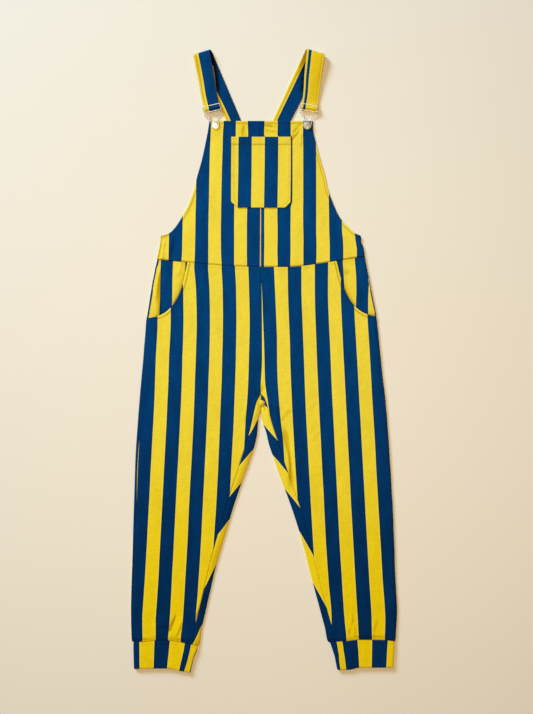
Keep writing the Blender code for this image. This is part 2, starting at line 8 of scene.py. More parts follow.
import bpy
import numpy as np
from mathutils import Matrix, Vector


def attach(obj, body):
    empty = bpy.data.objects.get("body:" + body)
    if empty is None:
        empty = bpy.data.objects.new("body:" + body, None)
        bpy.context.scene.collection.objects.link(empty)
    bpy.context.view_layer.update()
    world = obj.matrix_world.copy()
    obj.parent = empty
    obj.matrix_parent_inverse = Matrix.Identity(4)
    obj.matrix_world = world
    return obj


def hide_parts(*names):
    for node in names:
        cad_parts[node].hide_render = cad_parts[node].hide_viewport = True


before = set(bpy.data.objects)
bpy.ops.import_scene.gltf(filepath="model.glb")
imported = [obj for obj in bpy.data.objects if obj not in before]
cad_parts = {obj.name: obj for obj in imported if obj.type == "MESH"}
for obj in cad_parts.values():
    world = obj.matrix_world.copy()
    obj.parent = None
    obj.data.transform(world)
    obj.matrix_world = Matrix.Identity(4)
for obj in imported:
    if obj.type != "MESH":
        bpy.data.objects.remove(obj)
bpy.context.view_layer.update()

MM = 0.001
SIDE = {"left": -1, "right": 1}

# ---------------------------------------------------------------- driving dimensions
CLOTH = 1.2            # single cloth
CUFF_CLOTH = 2.2       # doubled cuff cloth
STRAP_CLOTH = 1.8      # doubled strap cloth
KNOB_CLOTH = 0.8
SEAM = 0.08            # gap between two sewn edges
Z_BACK = 0.6           # middle of the back panels' cloth
Z_FRONT = 5.0          # middle of the front panels' cloth
Z_FACING = 3.5         # middle of the hip pocket facings
Z_SEAM_BACK = 2.6      # where the back panels end on the side seam
Z_SEAM_FRONT = 3.05    # where the front panels begin on the side seam
EDGE_ROLL = 3.0        # width of the roll at a side seam or a folded edge
ROLL_STEPS = 5         # columns of points in such a roll
ROLL_SHARES = np.arange(1, ROLL_STEPS + 1) / ROLL_STEPS
FLAT_COLUMNS = 40      # columns of points across the cuffs and the bottom of the legs
SEWN_IN = 0.6          # how far a sewn edge lies in from the outline
FLAP_DROP = 1.3        # how far the rolled inner edge sinks below the front
BIB_DRAPE = 45.0       # width over which the bib sinks towards its armhole edges
BIB_FOOT, BIB_TOP = 226, 575
LEG_TOP = 225
UNDERARM_Y = 297       # top of the side seams
MOUTH_FOOT = 101       # foot of the hip pocket mouths
OUTSEAM_TOP = 96       # top of the side stitching, below the mouths
LEG_FOOT = -674
GATHER_Y = -640        # below this the legs are drawn into the cuffs
APEX_Y = -121          # where the inner edges of the legs part
CROTCH_TIP_Y = -84.0   # top of the back panels' tips
POCKET_FOOT, POCKET_TOP = 366.5, 536.5
CUFF_LENGTH = 66
CUFF_RISE = 1.5        # how far the cuffs' upper layer stands above the legs'
WIRE = 1.0             # radius of the hook and slider wire
WIRE_SIDES = 16
STRAP_HALF = 18.7      # half of the strap's width
SLIDER_Z = 7.4
SLIDER_HALF = 20.3
SLIDER_MIDDLE = 4.8
HOOK_BAR_Z = 3.1
RING_RADIUS = 9.0
LOOP_RADIUS = 5.5
STRAP_BACK_Y = 494.0
STRIPE = 32.2          # width of a stripe
HIDDEN_STRIPE_X = -9.0     # where a stripe begins on the back bib
HIDDEN_STRIPE_Y = -400     # height at which a stripe begins on the inner fold, under the legs
# Rows of stitches: how far in from the edge or the seam
ARM_STITCH = 5.2
TOP_STITCH = 5.3
MOUTH_STITCH = 5.0
OUTSEAM_STITCH = 6.5
WAIST_STITCH = 2.8
CUFF_STITCH = 6.8
POCKET_STITCH = 6.8
POCKET_HEM_STITCH = 18.1
STRAP_STITCH = 4.8
STITCH_PITCH = 3.4     # one stitch and the gap after it
STITCH_LENGTH = 2.7
STITCH_RADIUS = 0.22
THREAD_SIDES = 6
SPOKES = 40            # points round a button

# Waist seam, from the left side seam to the right one: x, y
WAIST = (
    (-256, 242.5), (-198, 237.5), (-134, 230.5), (-70, 226.5), (0, 224.5), (57, 224.5), (95, 227.5),
    (124, 231.5), (174, 239), (224, 247.5), (242, 249.5),
)
# Bib, waist to top.  left, right: outline.  centre: front seam.  middle, edge: cloth height.
BIB = (  # y, left, right, centre, middle, edge
    (226, -257.2, 242, -7, 5, 5), (262, -251.5, 238, -7, 4.8, 4.8), (282, -248.6, 233.5, -7, 4.6, 4.6),
    (298, -247.4, 232.5, -6.9, 4.4, 4.4), (304, -231, 221, -6.9, 4.2, 3.5),
    (309, -222.5, 213.5, -6.8, 4.1, 3.1), (316, -216, 207.5, -6.8, 4, 2.8),
    (325, -209, 197, -6.7, 3.8, 2.4), (336, -202, 187.5, -6.7, 3.6, 2.1), (350, -194, 178, -6.7, 3.4, 1.8),
    (371, -182.5, 168.5, -7.2, 3.2, 1.6), (392, -174.5, 160, -7.8, 3.1, 1.5),
    (412, -167.5, 153, -8.1, 3, 1.4), (440, -161, 147, -8.4, 3, 1.3), (481, -149.5, 135.5, -8.6, 3, 1.3),
    (529, -139, 123, -9, 3, 1.4), (555, -134, 118, -9.4, 3, 1.6), (575, -131, 117.5, -9.8, 3, 1.6),
)
# Back bib, hidden under the front one, waist to top: y, left, right
BACK_BIB = (
    (226, -256, 242), (262, -250, 238), (282, -247.5, 233.5), (297, -247, 232.5), (303, -221, 211),
    (313, -203, 193), (330, -180, 167), (355, -146, 128), (390, -108, 86), (430, -80, 51),
    (487.5, -55, 21),
)
# Bib pocket, bottom to top: y, left, right
POCKET = (
    (366.5, -62.5, 50.5), (374, -71, 58), (382, -79, 64.2), (410, -79, 64.6), (460, -78.8, 65),
    (517, -78.5, 65), (536.5, -78.5, 65),
)
# Legs, waist to cuff seam.  outer: outline at the side seam.  seam: front edge of the panel,
# the centre front down to the crotch, then the inseam.  fold: inner outline of the leg.
LEG = {  # y, outer, seam, fold
    "left": (
        (225, -256, -8, -7), (212, -258.5, -7.5, -7), (198, -262.4, -7.1, -7), (185, -265.4, -6.8, -7),
        (172, -268.4, -5.8, -7), (160, -271, -5.6, -7), (147, -273.2, -5.4, -7), (134, -275.6, -5.3, -7),
        (124, -277.6, -5.2, -7), (116, -279, -5.1, -7), (110, -280.3, -5, -7), (105, -281.3, -5, -7),
        (101, -282, -4.9, -7), (94, -283, -4.9, -7), (70, -284.6, -4.8, -7), (35, -287.6, -4.8, -7),
        (0, -290.3, -4.8, -7), (-35, -293.6, -6.4, -7), (-60, -295.9, -8, -7), (-79, -297.6, -9.8, -7),
        (-100, -299.2, -18, -7), (-121, -301, -23.5, -7), (-137, -302.2, -27, -13),
        (-153, -303.3, -30.5, -14.7), (-172, -304.7, -35, -16), (-200, -306.6, -43, -21.5),
        (-235, -308.6, -54.5, -32.5), (-270, -309.9, -65, -45), (-310, -311, -78, -59.5),
        (-350, -312.3, -91, -73), (-400, -313.9, -105.5, -88), (-450, -315.3, -120, -103),
        (-500, -316.8, -132.5, -117), (-550, -318.5, -144.5, -128.5), (-600, -319.5, -156.5, -139.8),
        (-635, -319, -165, -147.8), (-658, -318, -169.5, -153.6), (-674, -316, -172.5, -158.6),
    ),
    "right": (
        (225, 241.5, -8, -6.8), (212, 244.2, -7.5, -6.8), (198, 246.8, -7.1, -6.8),
        (185, 250.4, -6.8, -6.8), (172, 253.8, -5.8, -6.8), (160, 256.8, -5.6, -6.8),
        (147, 259.8, -5.4, -6.8), (134, 263, -5.3, -6.8), (126, 265.2, -5.2, -6.8),
        (119, 266.8, -5.1, -6.8), (113, 268, -5.1, -6.8), (109, 268.8, -5, -6.8), (105, 269.5, -4.9, -6.8),
        (98, 270.6, -4.9, -6.8), (70, 274, -4.8, -6.8), (35, 277.5, -4.8, -6.8), (0, 281, -4.8, -6.8),
        (-35, 284.5, -6.4, -6.8), (-60, 287.5, -8, -6.8), (-79, 290, -7.5, -6.8), (-88, 291, 0.5, -6.8),
        (-100, 292, 5.5, -6.8), (-121, 294, 11.5, -6.8), (-137, 295.5, 15.5, -5.2),
        (-153, 296.5, 20, -1.5), (-172, 298, 26, 5), (-200, 300, 36, 11.5), (-235, 302, 46.5, 23.5),
        (-270, 304.5, 58.5, 35.5), (-310, 306.5, 72.5, 50.5), (-350, 309, 86, 65),
        (-400, 311, 100.5, 81.5), (-450, 313, 114, 96), (-500, 314.5, 127.5, 108.5),
        (-550, 317, 140, 121.5), (-600, 319.5, 152.5, 135), (-635, 318, 162, 144.5), (-658, 316, 168, 151),
        (-673, 314, 170.5, 156),
    ),
}
# Height of the cloth's middle on the legs, above their foot: y, front, back
LEG_HEIGHT = ((225, 5.0, 0.6), (-600, 5.0, 0.6), (-635, 5.2, 0.6), (-658, 5.6, 0.7))
LEG_FOOT_HEIGHT = (6.0, 0.9)
# Hip pocket mouths: where each of the first leg rows meets the mouth's edge
MOUTH = {
    "left": (
        -183.2, -185.6, -188.6, -191.9, -195.8, -200.6, -207.4, -216.4, -225, -234.4, -244.6, -257.5,
        -281.4,
    ),
    "right": (
        173.8, 177, 180.5, 184.3, 188.8, 194.2, 201.4, 211.4, 219.4, 228.8, 239.8, 251, 269,
    ),
}
# Hip pocket facings.  outer: on the side seam.  inner: under the front panel.
FACING = {  # y outer, x outer, y inner, x inner
    "left": (
        (241, -256, 236, -168), (222, -260.5, 222, -170), (205, -264, 207, -172), (185, -268, 190, -176),
        (160, -272.2, 164, -184), (140, -275.2, 140, -194), (120, -278.4, 116, -208),
        (101.8, -281.4, 92, -228),
    ),
    "right": (
        (248, 242, 237.5, 158), (225, 246, 224, 160), (205, 250.1, 208, 163), (185, 254.2, 190, 168),
        (160, 258.8, 164, 177), (140, 262.8, 140, 188), (120, 267, 118, 202), (105.8, 269.2, 95, 222),
    ),
}
# Cuff seams and cuff hems: x, y
CUFF_SEAM = {
    "left": (
        (-316, -674), (-290, -675), (-258, -671.5), (-226, -672), (-190, -678), (-158, -684),
    ),
    "right": (
        (157, -675.5), (200, -673), (228, -670), (290, -671), (315, -673.5),
    ),
}
HEM = {
    "left": (
        (-312, -739.5), (-264, -738), (-233, -738), (-203, -743.5), (-177, -748),
    ),
    "right": (
        (175, -741.5), (205, -741), (227, -736.5), (293, -736), (311, -736.5),
    ),
}
# Cuff outlines: share of the way from seam to hem, outer, inner
CUFF = {
    "left": (
        (0, -313, -158.5), (0.2, -313.5, -161.6), (0.5, -313, -168.8), (0.8, -312.5, -173.7),
        (1, -312, -176.3),
    ),
    "right": (
        (0, 313, 158.5), (0.2, 313, 162.5), (0.5, 312, 169), (0.8, 311, 173), (1, 310, 176),
    ),
}
# Broad soft rolls in the front cloth: x, y, direction in degrees, half length, half width, rise
ROLLS = (
    (-215, -20, 78, 120, 45, 0.5), (-120, 60, 98, 110, 42, 0.4), (-165, -330, 70, 120, 45, 0.5),
    (-235, -520, 95, 100, 40, 0.5), (200, -60, 100, 120, 45, 0.5), (110, 90, 82, 100, 42, 0.4),
    (190, -400, 108, 130, 45, 0.5), (245, -560, 85, 90, 40, 0.5),
)
# Creases: x, y of one end, x, y of the other, half width, height (a trough is negative)
CREASES = (
    (-214, 300, -222, 236, 9, -1), (-236, 292, -250, 236, 8, 0.8), (-196, 242, -214, 196, 8, 0.5),
    (-250, 236, -262, 130, 8, 0.9), (-244, 232, -250, 140, 6, -0.8), (91, 568, 68, 541, 6, -0.55),
    (88, 556, 65, 520, 8, -1), (97, 560, 82, 512, 8, 0.6), (-4, 563.5, 36, 558.5, 6, -0.7),
    (2, 553, 30, 545, 6, -0.35), (-4, 557, 34, 552, 4, 0.4), (-62, 572, -50, 520, 10, 0.6),
    (-48, 570, -38, 515, 9, -0.5), (-208, -606, -232, -664, 9, -1.1), (-196, -616, -214, -664, 8, 1),
    (-250, -640, -214, -652, 6, -0.8), (-262, -600, -236, -646, 7, 0.8), (24, -88, 32, -160, 14, 0.9),
    (62, -150, 84, -262, 12, 0.8), (44, -150, 80, -322, 15, -1.4), (-6, -54, -3, -82, 4, -0.7),
    (3, -58, -4, -78, 3.5, -0.5), (-2, -98, 7, -126, 5, -0.8), (-228, -628, -243, -668, 5, -0.7),
    (-252, -596, -262, -640, 6, -0.6), (216, -620, 206, -664, 6, -0.7), (186, -640, 178, -668, 5, -0.5),
    (236, -632, 252, -666, 6, 0.6), (36, -143, 62, -112, 5, 0.55), (44, -150, 70, -118, 4, -0.4),
    (112, -193, 134, -165, 5, 0.45), (100, -120, 130, -92, 6, 0.4), (-50, -150, -36, -80, 7, 0.6),
    (-24, -60, -12, -98, 5, -0.6), (10, -40, 14, -96, 5, -0.5), (-150, -560, -172, -640, 9, 0.8),
    (170, -566, 190, -650, 9, 0.8), (210, -600, 214, -664, 8, 0.6), (265, -610, 262, -666, 9, 0.6),
    (-262, -600, -256, -664, 9, 0.6), (-38, 566, -20, 548, 5, -0.7), (-30, 570, 6, 552, 6, 0.5),
    (20, 566, 40, 545, 6, 0.4), (-3, 69, 24, 74.5, 2.2, -0.7), (-3, 66, 26, 71.5, 2.2, 0.5),
    (21, 71, 28, 84, 2.2, -0.5),
)
# Boundaries between stripes: y, number of the first one in the row, then where they are
LEG_STRIPES = {
    "left": (
        (220.8, 3, -166.8, -134.6, -101.3, -70.1, -37),
        (168, 2, -194.2, -162.5, -131.3, -98.6, -67.4, -35.3),
        (96, 0, -255.8, -223.2, -193.7, -160.8, -130.1, -97.9, -66.7, -33.8),
        (0, 0, -260.2, -227.5, -196.3, -163.2, -131.8, -99.8, -68.2, -35.8),
        (-48, 0, -261.8, -228.7, -197.5, -165.1, -133.7, -101, -69.6, -37.2),
        (-96, 0, -263.3, -230.9, -199.4, -166.6, -135.1, -103, -71.5, -39.8),
        (-144, 0, -265.9, -233, -201.8, -168.5, -137.3, -104.9, -73, -43.7),
        (-240, 0, -271.2, -238.1, -206.6, -173.3, -141.8, -108.7, -78.2, -48.7),
        (-336, 0, -276, -243.1, -211.7, -178.6, -146.6, -113.5),
        (-432, 0, -281, -248.2, -216.5, -182.9, -151.4, -119.8),
        (-528, 0, -286.6, -253, -221.5, -188.4, -157.4), (-576, 0, -289.9, -256.3, -223.9, -191.3, -160.8),
        (-624, 0, -292.3, -259.2, -226.8, -194.4, -164.5),
        (-662.4, 0, -291.8, -259.4, -230.4, -199.2, -164.5),
    ),
    "right": (
        (220.8, 0, -11, 23.5, 57.4, 89.3, 122.4, 153.4),
        (168, 0, -4.4, 25.9, 58.1, 89.3, 122.4, 152.9, 184.6),
        (96, 0, -1.7, 29, 60.5, 91.7, 124.1, 155, 187.2, 217.4, 249.1),
        (48, 0, 0.4, 30.7, 62.4, 93.6, 126, 157.4, 189.6, 220.3, 252.2),
        (0, 0, 1.7, 31, 63.6, 95.3, 127.7, 159.4, 191.8, 223, 255.1),
        (-48, 0, 3, 32.2, 65.3, 97, 129.8, 161.3, 194.4, 225.6, 257.8),
        (-96, 0, 9.4, 35.5, 67.4, 98.9, 132, 163.4, 196.8, 228.2, 260.4),
        (-144, 0, 16.5, 39.6, 69.6, 101, 134.4, 166.1, 199.2, 231.1, 263.5),
        (-192, 1, 45.4, 72.2, 103.7, 136.8, 168.5, 201.6, 233.5, 266.4),
        (-240, 1, 48.5, 74.9, 106.3, 139.2, 170.9, 204.2, 236.2, 268.8),
        (-336, 2, 81.1, 111.4, 144.2, 175.7, 209, 241.4, 274.1),
        (-432, 3, 117.1, 148.8, 180.7, 214.3, 246.7, 279.8), (-528, 4, 155.3, 186.5, 219.8, 252.2, 285.4),
        (-624, 4, 162.6, 193, 225.6, 257.8, 291.4), (-662.4, 4, 162.6, 197, 227.5, 258.5, 290.2),
    ),
}
BIB_STRIPES = {
    "left": (
        (566.4, 3, -127.7, -96.5, -67.9, -38.4), (542.4, 3, -128.6, -98.2, -68.2, -37.7),
        (504, 3, -130.3, -99.1), (456, 3, -131.5, -100.6), (384, 2, -163, -132.7, -102),
        (355.2, 2, -163.7, -133.4, -102.5, -72, -40.1, -9.8),
        (312, 1, -196.1, -164.4, -133.9, -103, -72.2, -40.6, -9.9),
        (264, 0, -228, -197, -165.1, -134.2, -102.7, -72.2, -40.6, -10.2),
        (235.2, 0, -228.5, -198.7, -166.3, -134.2, -101.3, -72.2, -40.3, -10.5),
    ),
    "right": (
        (566.4, 0, 0.7, 33.4, 63.6, 94.3), (542.4, 0, -0.2, 32.9, 63.8, 94.1), (534, 2, 67.5, 94.1),
        (504, 2, 68, 94.6, 124.6), (456, 2, 68, 94.6, 124.8), (384, 2, 67.5, 94.6, 124.8, 156.2),
        (366, 2, 63.6, 94.4, 124.8, 156.4), (355.2, 0, 0, 32.6, 63.4, 94.3, 124.8, 156.5),
        (312, 0, 0.2, 33.1, 62.9, 94.8, 124.8, 157, 186.7),
        (288, 0, 0.2, 33.1, 63.1, 95.3, 125.3, 157.9, 188.9, 220.1),
        (264, 0, 0, 32.6, 63.1, 95, 125.5, 158.2, 189.8, 223.2),
        (235.2, 0, -0.5, 33.4, 62.6, 95, 124.6, 158.2, 189.8, 223.2),
    ),
}
POCKET_STRIPES = (
    (536.5, 0, -60.5, -29.8, 2.6, 33.8), (452, 0, -61.2, -30.5, 1.9, 33.1),
    (366, 0, -62.8, -31.7, 0.5, 31.5),
)
FACING_STRIPES = {
    "left": (
        (240, 0, -260, -247.5, -218.5, -188.2), (195, 0, -267, -248.6, -220.3, -188.2),
        (144, 0, -274.5, -249.6, -221, -188.2), (130, 0, -277.5, -250.2, -222, -188.2),
        (92, 0, -284, -251, -223, -188.2),
    ),
    "right": (
        (245, 0, 157, 188.4, 218.2, 250), (195, 0, 160, 191.2, 221.8, 252),
        (168, 0, 162, 192.8, 222.2, 250.4), (144, 0, 163, 194.4, 221.3, 249.4),
        (95, 0, 165, 196, 221, 249.8),
    ),
}
# The same on the cuffs, whose rows begin with the share of the way from the seam to the hem
CUFF_STRIPES = {
    "left": (
        (0, 0, -299.4, -261.8, -226.3, -189.1, -175, -158),
        (0.5, 0, -299, -263, -229.5, -195, -182, -170.6),
        (1, 0, -298.6, -264.2, -233, -203, -191.8, -178.8),
    ),
    "right": (
        (0, 0, 173.8, 187.2, 223, 259.7, 296.2), (0.3, 0, 178, 190.6, 224.9, 259.4, 294.7),
        (1, 0, 183.1, 196.8, 227.8, 258.7, 292.6),
    ),
}
# Stripe number at a table's first boundary: left, right
FIRST = {"leg": (0, -5), "bib": (-5, 0), "facing": (0, 1)}
# Turned-over part of the back panels: height on the inseam, stripe number, rise per mm inward
FLAP = {
    "left": (
        (-30, -0.7, 2.2), (-88, 0, 2.6), (-144, 0.59, 3.1), (-183, 1, 2.4), (-212, 1.42, 1.9),
        (-252, 2, 1.9), (-329, 3, 2.0), (-378, 3.563, 2.2), (-416, 4, 2.2), (-480, 4.474, 4.0),
        (-551, 5, 3.8), (-678, 6, 2.7), (-765, 6.8, 2.7),
    ),
    "right": (
        (-30, -0.9, 1.2), (-113, 0, 1.2), (-140, 0.33, 1.9), (-195, 1, 1.9), (-270.5, 2, 2.2),
        (-309, 2.445, 2.2), (-357, 3, 2.5), (-409, 3.473, 3.35), (-467, 4, 3.4),
        (-531, 4.49, 3.35), (-597, 5, 3.8), (-740, 6.1, 3.4),
    ),
}
# Where the back panel's yellow stripe shows at the left side seam: y, its edge in from the outline
SIDE_SLIVER = (
    (-170, 9), (-195, 6.3), (-215, 5.6), (-280, 5.2), (-320, 5.7), (-352, 6.6), (-372, 9),
)
# Foot of the mock fly's stitching, on the right leg beside the centre seam
FLY_LINE = (
    (-1.5, 65.5), (4, 66.5), (9, 67.5), (15, 69.5), (21, 71.2), (24.5, 73.5), (25.4, 77), (25.4, 82),
)
# Stitched groove beside the side edges and the short top edges of the bib
SIDE_GROOVE = {
    "left": ((-226.5, 302), (-246.3, 298), (-247.6, 275), (-252.4, 252), (-256, 240)),
    "right": ((218, 300.5), (230.6, 296), (231.6, 282), (236.5, 262), (240, 250)),
}
# Straps: the ends of the fold at the top where the front run begins and where the back run
# ends, the two ends of the back run's start at the back bib, the middle of the hook's bar,
# how far the bar leans, the slider's lean, the button's place and tilt
STRAPS = {
    "left": (((-167.9, 727.8), (-129.7, 739.1)), ((-159.9, 728.3), (-123.9, 739.3)),
             (-53.6, -20.2), (-123.8, 600.2), 13, 13.5, (-116.6, 564.7), 0.16),
    "right": (((102.4, 741.3), (144.5, 727.8)), ((97.9, 740.9), (142.9, 728.6)),
              (-17.7, 22.9), (107.6, 600.9), -9, -10, (104.4, 565), -0.09),
}
# Height of the strap's middle along its front run, from the hook's bar up to the crease
FRONT_RUN = (
    (-1.5, 4.7), (3.3, 9.0), (4.8, 9.6), (6.2, 9.1), (10.8, 5.6), (12.2, 5.2), (15, 5.2),
    (26, 5.7), (50, 7.3), (90, 10.0), (123, 11.8),
)
# The same for the free end turned back under it, and how far that lies to one side
FREE_END = ((0, 0.9), (4, 1.1), (10, 2.5), (14, 3.0), (60, 3.0), (106, 3.0))
FREE_END_SHIFT = {"left": 2.1, "right": -1.0}
# Boundaries between stripes as shares of the strap's width: back run, front run, free end
STRAP_STRIPES = {
    "left": (((0.31, 1),), ((0.31, 1),), ((0.69, 2),)),
    "right": (((0.25, 1),), ((0.12, 1), (0.26, 2)), ((0.3, 2),)),
}
# Where the strap's columns of points are, as shares of its width
STRAP_COLUMNS = (
    0, 0.03, 0.07, 0.1, 0.12, 0.17, 0.26, 0.34, 0.42, 0.5, 0.58, 0.66, 0.74, 0.83, 0.88, 0.9, 0.93,
    0.97, 1.0,
)
# How far the strap's outer edge sags, by height up the garment
STRAP_SAG = ((612, 0), (625, 2.6), (661, 2.7), (697, 1.3), (722, 0))
# Hook outline from its bar to the keyhole loop: across, down from the bar
HOOK_SIDE = (
    (19.3, 0), (20.3, 0.8), (20.6, 2), (20.6, 8.6), (20.0, 10.6), (18.4, 11.6), (12.2, 12),
    (9.9, 12.9), (8.9, 15), (8.6, 20), (8.8, 28),
)
# Slider frame, one quarter of its outline from its middle
SLIDER_CORNER = ((20.3, 5.6), (19.8, 6.8), (18.6, 7.3))
# Button from its foot to its crown: radius, height
BUTTON = (
    (0, 0.3), (2.6, 0.3), (3.0, 0.5), (3.0, 2.6), (3.3, 2.75), (7.9, 2.7), (8.35, 2.8), (8.65, 3.1),
    (8.72, 3.5), (8.6, 3.95), (8.25, 4.3), (7.8, 4.45), (7.3, 4.4), (6.9, 4.5), (5.6, 4.85),
    (3.8, 5.1), (1.9, 5.22), (0, 5.25),
)


# ---------------------------------------------------------------- reading the tables
def smooth(t):
    t = np.clip(t, 0.0, 1.0)
    return t * t * (3 - 2 * t)


def mix(a, b, t):
    return a + (b - a) * t


def between(a, b, share):
    """Grid of values: a row for each pair of ends, a column for each share of the way."""
    return mix(a[:, None], b[:, None], share[None, :])


def bell(d, width):
    """1 on a line, fading to both sides of it."""
    return np.exp(-(d / width) ** 2)


def through(table, at, column=1):
    """Smooth values of a column at places along a table sorted by its first column, up or down."""
    t = np.array([row[0] for row in table], float)
    v = np.array([row[column] for row in table], float)
    if t[0] > t[-1]:
        t, v = t[::-1], v[::-1]
    at = np.clip(np.asarray(at, float), t[0], t[-1])
    step = np.diff(t)
    slope = np.diff(v) / step
    both = slope[:-1] + slope[1:]
    same = slope[:-1] * slope[1:] > 0
    tangent = np.concatenate((
        [slope[0]],
        np.where(same, 2 * slope[:-1] * slope[1:] / np.where(same, both, 1.0), 0.0),
        [slope[-1]],
    ))
    i = np.clip(np.searchsorted(t, at, side="right") - 1, 0, len(t) - 2)
    s = (at - t[i]) / step[i]
    return ((1 + 2 * s) * (1 - s) ** 2 * v[i] + s * (1 - s) ** 2 * step[i] * tangent[i]
            + s * s * (3 - 2 * s) * v[i + 1] + s * s * (s - 1) * step[i] * tangent[i + 1])


def waist_y(x):
    return through(WAIST, x)


def cuff_seam_y(x):
    return np.where(np.asarray(x) < 0, through(CUFF_SEAM["left"], x), through(CUFF_SEAM["right"], x))


def leg_y(y, x):
    """Rows of a leg follow the waist seam at its top and the cuff seam at its foot."""
    low = mix(y, cuff_seam_y(x) + SEAM, smooth((GATHER_Y - y) / 33))
    share = smooth((y - MOUTH_FOOT) / (LEG_TOP - MOUTH_FOOT))
    return np.where(y > MOUTH_FOOT, y + (waist_y(x) - SEAM - LEG_TOP) * share,
                    np.where(y < GATHER_Y, low, y))


def leg_heights(name):
    """Columns of front and back height for the rows of a leg, down to its own foot."""
    return LEG_HEIGHT + ((LEG[name][-1][0], *LEG_FOOT_HEIGHT),)


def distance_to(line, x, y):
    """Distance from points to a line of (x, y) points."""
    best = np.full(np.shape(x), 1e9)
    for (ax, ay), (bx, by) in zip(line, line[1:]):
        dx, dy = bx - ax, by - ay
        t = np.clip(((x - ax) * dx + (y - ay) * dy) / (dx * dx + dy * dy + 1e-9), 0, 1)
        best = np.minimum(best, np.hypot(x - ax - t * dx, y - ay - t * dy))
    return best


def beside(line, x, y, offset, width):
    """1 at an offset from a line of points, fading to both sides."""
    return bell(distance_to(line, x, y) - offset, width)


def filled(table):
    """Stripe rows as y and every boundary, a missing one beside its nearest known neighbour."""
    known = [dict(enumerate(row[2:], row[1])) for row in table]
    rows = []
    for r, own in enumerate(known):
        row = [table[r][0]]
        for c in range(1 + max(max(line) for line in known)):
            near = known[min((k for k, line in enumerate(known) if c in line),
                             key=lambda k: abs(k - r))]
            shared = [k for k in own if k in near]
            if c in own:
                row.append(own[c])
            elif shared:
                step = min(shared, key=lambda k: abs(k - c))
                row.append(own[step] + (near[c] - near[step]))
            else:
                row.append(near[c])
        rows.append(row)
    return rows


def stripe_at(table, first, x, y):
    """Stripe coordinate: a whole number on each boundary between a blue and a yellow stripe."""
    rows = filled(table)
    bounds = []
    for c in range(1, len(rows[0])):
        at = through(rows, y, c)
        bounds.append(np.maximum(at, bounds[-1] + 6) if bounds else at)
    out = first + (x - bounds[0]) / STRIPE
    for c, (a, b) in enumerate(zip(bounds, bounds[1:])):
        out = np.where(x > a, first + c + (x - a) / (b - a), out)
    return np.where(x > bounds[-1], first + len(bounds) - 1 + (x - bounds[-1]) / STRIPE, out)


# ---------------------------------------------------------------- relief of the cloth
def rise(x, y):
    """Height the broad soft rolls add to the front panels."""
    total = np.zeros(np.shape(x))
    for cx, cy, angle, half_length, half_width, height in ROLLS:
        c, s = math.cos(math.radians(angle)), math.sin(math.radians(angle))
        u = ((x - cx) * c + (y - cy) * s) / half_length
        v = ((y - cy) * c - (x - cx) * s) / half_width
        inside = (np.abs(u) < 1) & (np.abs(v) < 1)
        total += np.where(inside, height * (1 - u * u) ** 2 * (1 - v * v) ** 2, 0.0)
    return total


def creases(x, y):
    """Uneven soft ridges and troughs, each fading at its ends."""
    total = np.zeros(np.shape(x))
    for ax, ay, bx, by, half_width, height in CREASES:
        dx, dy = bx - ax, by - ay
        length = math.hypot(dx, dy)
        u = ((x - ax) * dx + (y - ay) * dy) / length ** 2
        bend = 0.08 * length * np.sin(u * 5.1 + ax) * 0.3
        v = ((y - ay) * dx - (x - ax) * dy) / length - bend
        v = v / (half_width * (0.75 + 0.35 * np.sin(u * 7.3 + ay)))
        fade = np.clip(u * 4, 0, 1) * np.clip((1 - u) * 4, 0, 1)
        total += np.where(np.abs(v) < 1, height * smooth(fade) * (1 - v * v) ** 2, 0.0)
    return total


def waves(x, y):
    """Low slow unevenness of cloth laid down by hand."""
    return 1.8 * (0.16 * np.sin(x / 31 + 1.3 * np.sin(y / 57)) * np.sin(y / 73 + 0.8 * np.sin(x / 41))
                  + 0.09 * np.sin(x / 13.7 - y / 29 + 1.7) * np.sin(y / 17.3 + x / 37)
                  + 0.05 * np.sin(x / 6.1 + 2.2 * np.sin(y / 19)) * np.sin(y / 8.3 + 1.9 * np.sin(x / 23)))


def relief(x, y):
    return waves(x, y) + creases(x, y)


def hidden_creases(x, y):
    """Creases of the panels underneath, which only rise from the surface."""
    return np.clip(creases(x * 0.96 + 9, y * 0.94 + 21) - 0.1, 0, 0.8) * smooth((290 - np.abs(x)) / 20)


def dimple(x, y):
    """Small dent in the right facing's yellow stripe."""
    return -1.1 * bell(np.hypot(x - 199.5, y - 210.5), 6.5)


def seam_profile(d):
    """Across a seam: it sinks at the stitching and swells over the allowance beside it."""
    return -0.8 * bell(d, 1.5) + 0.35 * bell(d - 3.6, 2.2)


def hem_profile(d, width, stitch):
    """Across a hem: doubled cloth up to its width, with a groove under its stitching."""
    return 0.5 * smooth((width - d) / 2.5) - 0.35 * bell(d - stitch, 0.9) - 0.25 * bell(d, 1.2)


def pucker(x, y, d, reach, height):
    """Small gathers beside a line of stitching."""
    wave = np.sin((x + y) / 1.25 + 2.1 * np.sin((x - y) / 21)) + 0.6 * np.sin((x + y) / 2.9 + 1.1)
    return height * wave * bell(d, reach)


# ---------------------------------------------------------------- lines the seams follow
def leg_line(name, column, start, offset=0.0):
    """A column of a leg's table as a line of points from a height down to its foot."""
    ys = np.append(np.arange(start, LEG_FOOT, -8.0), LEG_FOOT)
    return list(zip(through(LEG[name], ys, column) + offset, ys))


